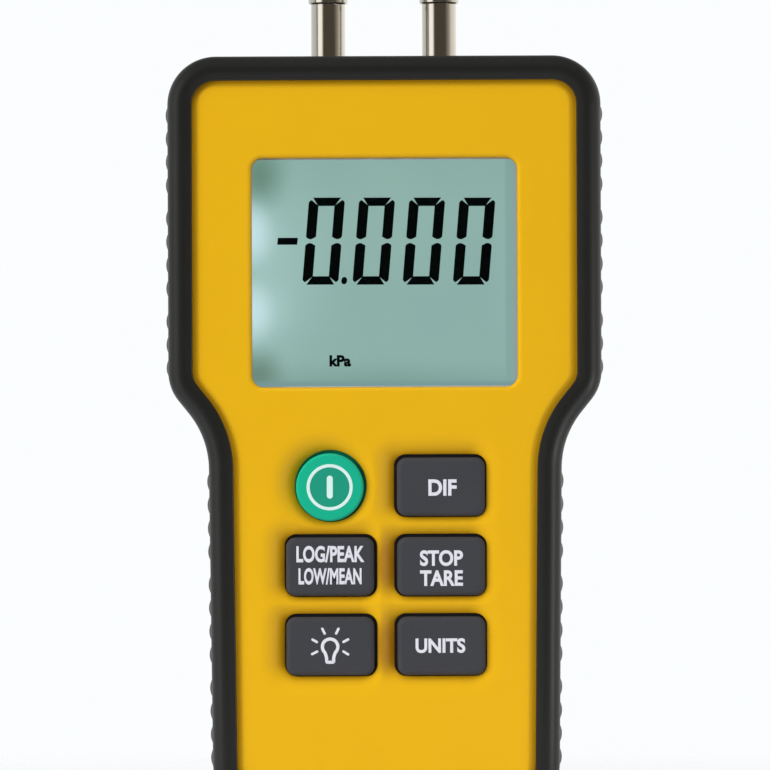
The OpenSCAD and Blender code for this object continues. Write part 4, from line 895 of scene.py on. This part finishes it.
# %% Finishes by slot
aluminium = turned_metal("drawn_aluminium_can", ("#b9bbbc", "#c6c8c9"), 0.32, 0.4, 0.001, "X")
black_abs = finish_of("moulded_black_abs", ("#242527", "#2a2b2d"), 0.42, 0.3, 0.006, IOR=1.53)
FINISHES = {
    "yellow_abs": yellow_abs, "black_abs": black_abs, "nickel": nickel, "screw_steel": steel,
    "display_glass": display, "clear_acrylic": clear_acrylic, "can_aluminium": aluminium}
# Material, two close colours, roughness, grain and bump in mm
SMALL_PARTS = {
    # Foam, rubber and epoxy: matt, since pores and grain break up what they mirror
    "adhesive": ("double_sided_foam_tape", "#2f2f31", "#38383a", 0.8, 0.4, 0.01),
    "foam": ("cut_black_foam", "#262628", "#343437", 0.9, 0.5, 0.06),
    "carbon": ("carbon_filled_silicone", "#161618", "#1f1f22", 0.75, 0.15, 0.006),
    "elastic_connector": ("striped_elastic_connector", "#b85f76", "#cd7a90", 0.7, 0.2, 0.006),
    "silicone_grey": ("moulded_grey_silicone", "#565a5d", "#616467", 0.6, 0.3, 0.006),
    "chip_epoxy": ("moulded_chip_epoxy", "#202123", "#29292c", 0.6, 0.15, 0.006),
    # Moulded plastics: satin, with the mould's fine grain
    "white_plastic": ("moulded_white_abs", "#d6d6d1", "#dededa", 0.5, 0.4, 0.006),
    "guide_acrylic": ("frosted_light_guide", "#e6efec", "#eff6f4", 0.55, 0.3, 0.004),
    "sensor_plastic": ("glass_filled_sensor_body", "#dedcd2", "#e8e6de", 0.55, 0.3, 0.006),
    "snap_vinyl": ("soft_black_vinyl", "#1a1a1c", "#222224", 0.5, 0.4, 0.004),
    # Drawn, shrunk and coated skins: smooth, with a clear shine
    "film": ("polarising_film", "#76908a", "#7f9992", 0.25, 0.5, 0.0),
    "diode": ("phosphor_coated_diode", "#ece6c4", "#f6f2dc", 0.4, 0.4, 0.0),
    "sleeve": ("shrunk_vinyl_sleeve", "#22305a", "#2b3a68", 0.35, 0.5, 0.002),
    "silicone_clear": ("milky_silicone_tube", "#d3d0c2", "#dfdccf", 0.35, 0.6, 0.002),
    "red_wire": ("red_wire_insulation", "#aa221b", "#b82a21", 0.4, 0.4, 0.002),
    "black_wire": ("black_wire_insulation", "#18181a", "#202022", 0.4, 0.4, 0.002),
    "board": ("green_solder_mask", "#19633c", "#1f7045", 0.35, 0.8, 0.003),
    "battery_jacket": ("lacquered_steel_jacket", "#3d4f63", "#465a70", 0.3, 0.8, 0.001)}
for slot_name, (name, low, high, *surface) in SMALL_PARTS.items():
    FINISHES[slot_name] = finish_of(name, (low, high), *surface, blotch_mm=4.0)
for cad_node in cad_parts.values():
    slots = [m.name.split(".")[0] for m in cad_node.data.materials]
    for k, slot_name in enumerate(slots):
        if slot_name in FINISHES:
            cad_node.data.materials[k] = FINISHES[slot_name]
        elif not cad_node.hide_render:
            print("no finish for", cad_node.name, slot_name)

# %% [markdown]
# ## Studio
# The meter stands in a white tent that lights it evenly from all sides. What polished metal and
# rubber mirror is the pale background with the photographer's side of the room in it: a bright
# panel on the left, beside its dark frame, an unlit gap round the camera, a dimmer wall on the
# right, a dim ceiling and a paler table. A colour ramp lists these round the horizon, by the
# heading of the ray. The camera, and light that passes through something, see the plain
# background.

# %% World
PANORAMA = [(-180, "#d9dadb"), (-88, "#b4b4b1"), (-78, "#4c4a45"), (-68, "#ffffff"),
            (-44, "#fdfaf3"), (-33, "#443f37"), (42, "#463f37"), (70, "#8e887e"),
            (88, "#cdcac3"), (135, "#e8e6e1"), (180, "#d9dadb")]
CEILING_AND_TABLE = [(0.35, 0.75, "#7d7a76"), (-0.2, -0.6, "#c4c3c6")]
MIRRORED, DIFFUSED = 1.5, 0.42

world = bpy.data.worlds.new("light_tent")
bpy.context.scene.world = world
world.use_nodes = True
tree = world.node_tree
tree.nodes.clear()
path = node(tree, "ShaderNodeLightPath")
ray = node(tree, "ShaderNodeTexCoord").outputs["Generated"]
heading = node(tree, "ShaderNodeSeparateXYZ", {0: ray})
ahead = node(tree, "ShaderNodeMath", {
    0: heading.outputs["Y"], 1: -1.0}, operation="MULTIPLY").outputs[0]
turned = node(tree, "ShaderNodeMath", {
    0: heading.outputs["X"], 1: ahead}, operation="ARCTAN2").outputs[0]
share = node(tree, "ShaderNodeMapRange", {
    "Value": turned, "From Min": -math.pi, "From Max": math.pi}).outputs[0]
walls = node(tree, "ShaderNodeValToRGB", {0: share})
while len(walls.color_ramp.elements) < len(PANORAMA):
    walls.color_ramp.elements.new(0.5)
for stop, (degrees, colour) in zip(walls.color_ramp.elements, PANORAMA):
    stop.position, stop.color = (degrees + 180) / 360, linear(colour)
room = walls.outputs[0]
for start, end, colour in CEILING_AND_TABLE:
    share = node(tree, "ShaderNodeMapRange", {
        "Value": heading.outputs["Z"], "From Min": start, "From Max": end},
        interpolation_type="SMOOTHSTEP").outputs[0]
    room = node(tree, "ShaderNodeMix", {
        0: share, 6: room, 7: linear(colour)}, data_type="RGBA").outputs[2]
reflected = node(tree, "ShaderNodeBackground", {"Color": room, "Strength": MIRRORED})
diffused = node(tree, "ShaderNodeBackground", {"Color": linear("#ffffff"), "Strength": DIFFUSED})
backdrop = node(tree, "ShaderNodeBackground", {"Color": linear("#fbfdff")})
seen = node(tree, "ShaderNodeMath", {
    0: path.outputs["Is Camera Ray"], 1: path.outputs["Is Transmission Ray"]},
    operation="MAXIMUM")
glossy = node(tree, "ShaderNodeMixShader", {
    0: path.outputs["Is Glossy Ray"], 1: diffused.outputs[0], 2: reflected.outputs[0]})
mixed = node(tree, "ShaderNodeMixShader", {
    0: seen.outputs[0], 1: glossy.outputs[0], 2: backdrop.outputs[0]})
node(tree, "ShaderNodeOutputWorld", {"Surface": mixed.outputs[0]})
print("stops of the panorama:", len(PANORAMA))

# %% [markdown]
# Four soft boxes stand in the tent: a strong one to the left of the camera, a weak one to its
# right, one above and one behind. They are large and far enough away for shadows without
# edges. They aren't mirrored themselves, because the panels of the tent in front of them are.
# A small fifth one stands low and close on the right, where the rubber mirrors it softly as a
# sheen along the grip, below the height at which the barbs could show it.

# %% Lamps
def soft_box(name, place_mm, aim_mm, size_mm, watts, mirrored=False):
    """Area lamp of the given size, at a place, turned to face a point. It lights surfaces
    softly, or else is only mirrored by them."""
    lamp_data = bpy.data.lights.new(name, "AREA")
    lamp_data.shape, lamp_data.energy = "RECTANGLE", watts
    lamp_data.size, lamp_data.size_y = (side * MM for side in size_mm)
    box = add_object(name, lamp_data)
    box.visible_glossy, box.visible_diffuse, box.visible_camera = mirrored, not mirrored, False
    box.location = Vector(place_mm) * MM
    box.rotation_euler = (Vector(aim_mm) - Vector(place_mm)).to_track_quat("-Z", "Y").to_euler()
    print(f"{name}: {watts} W")


AIM = (0, 0, 75)
soft_box("soft_box_left", (-1000, -550, 300), AIM, (500, 900), 9.5)
soft_box("soft_box_right", (1000, -550, 200), AIM, (500, 900), 1.0)
soft_box("soft_box_top", (0, -500, 1000), AIM, (900, 500), 4.8)
soft_box("soft_box_back", (300, 1000, 600), AIM, (900, 900), 6.0)
soft_box("soft_box_low_right", (310, -215, 0), (30, -18, 30), (110, 130), 0.35, mirrored=True)

# %% [markdown]
# The floor is a pale sheet that catches the meter's shadow and fades out with distance, so that
# the background stays one plain white.

# %% Floor
FLOOR_HALF, FADE_FROM, FADE_TO = 600.0, 90.0, 230.0
floor_mesh = bpy.data.meshes.new("floor")
corners = np.array([[-1, -1, 0], [1, -1, 0], [1, 1, 0], [-1, 1, 0]]) * FLOOR_HALF * MM
floor_mesh.from_pydata(corners.tolist(), [], [(0, 1, 2, 3)])
floor = add_object("floor", floor_mesh)
paper, tree, out = new_material("pale_paper_sweep")
away = node(tree, "ShaderNodeVectorMath", {
    0: object_place(tree)}, operation="LENGTH").outputs["Value"]
fade = node(tree, "ShaderNodeMapRange", {
    "Value": away, "From Min": FADE_TO * MM, "From Max": FADE_FROM * MM},
    interpolation_type="SMOOTHSTEP").outputs[0]
sheet = node(tree, "ShaderNodeBsdfPrincipled", {
    "Base Color": linear("#f4f5f6"), "Roughness": 0.9, "Alpha": fade})
tree.links.new(sheet.outputs[0], out.inputs["Surface"])
floor_mesh.materials.append(paper)
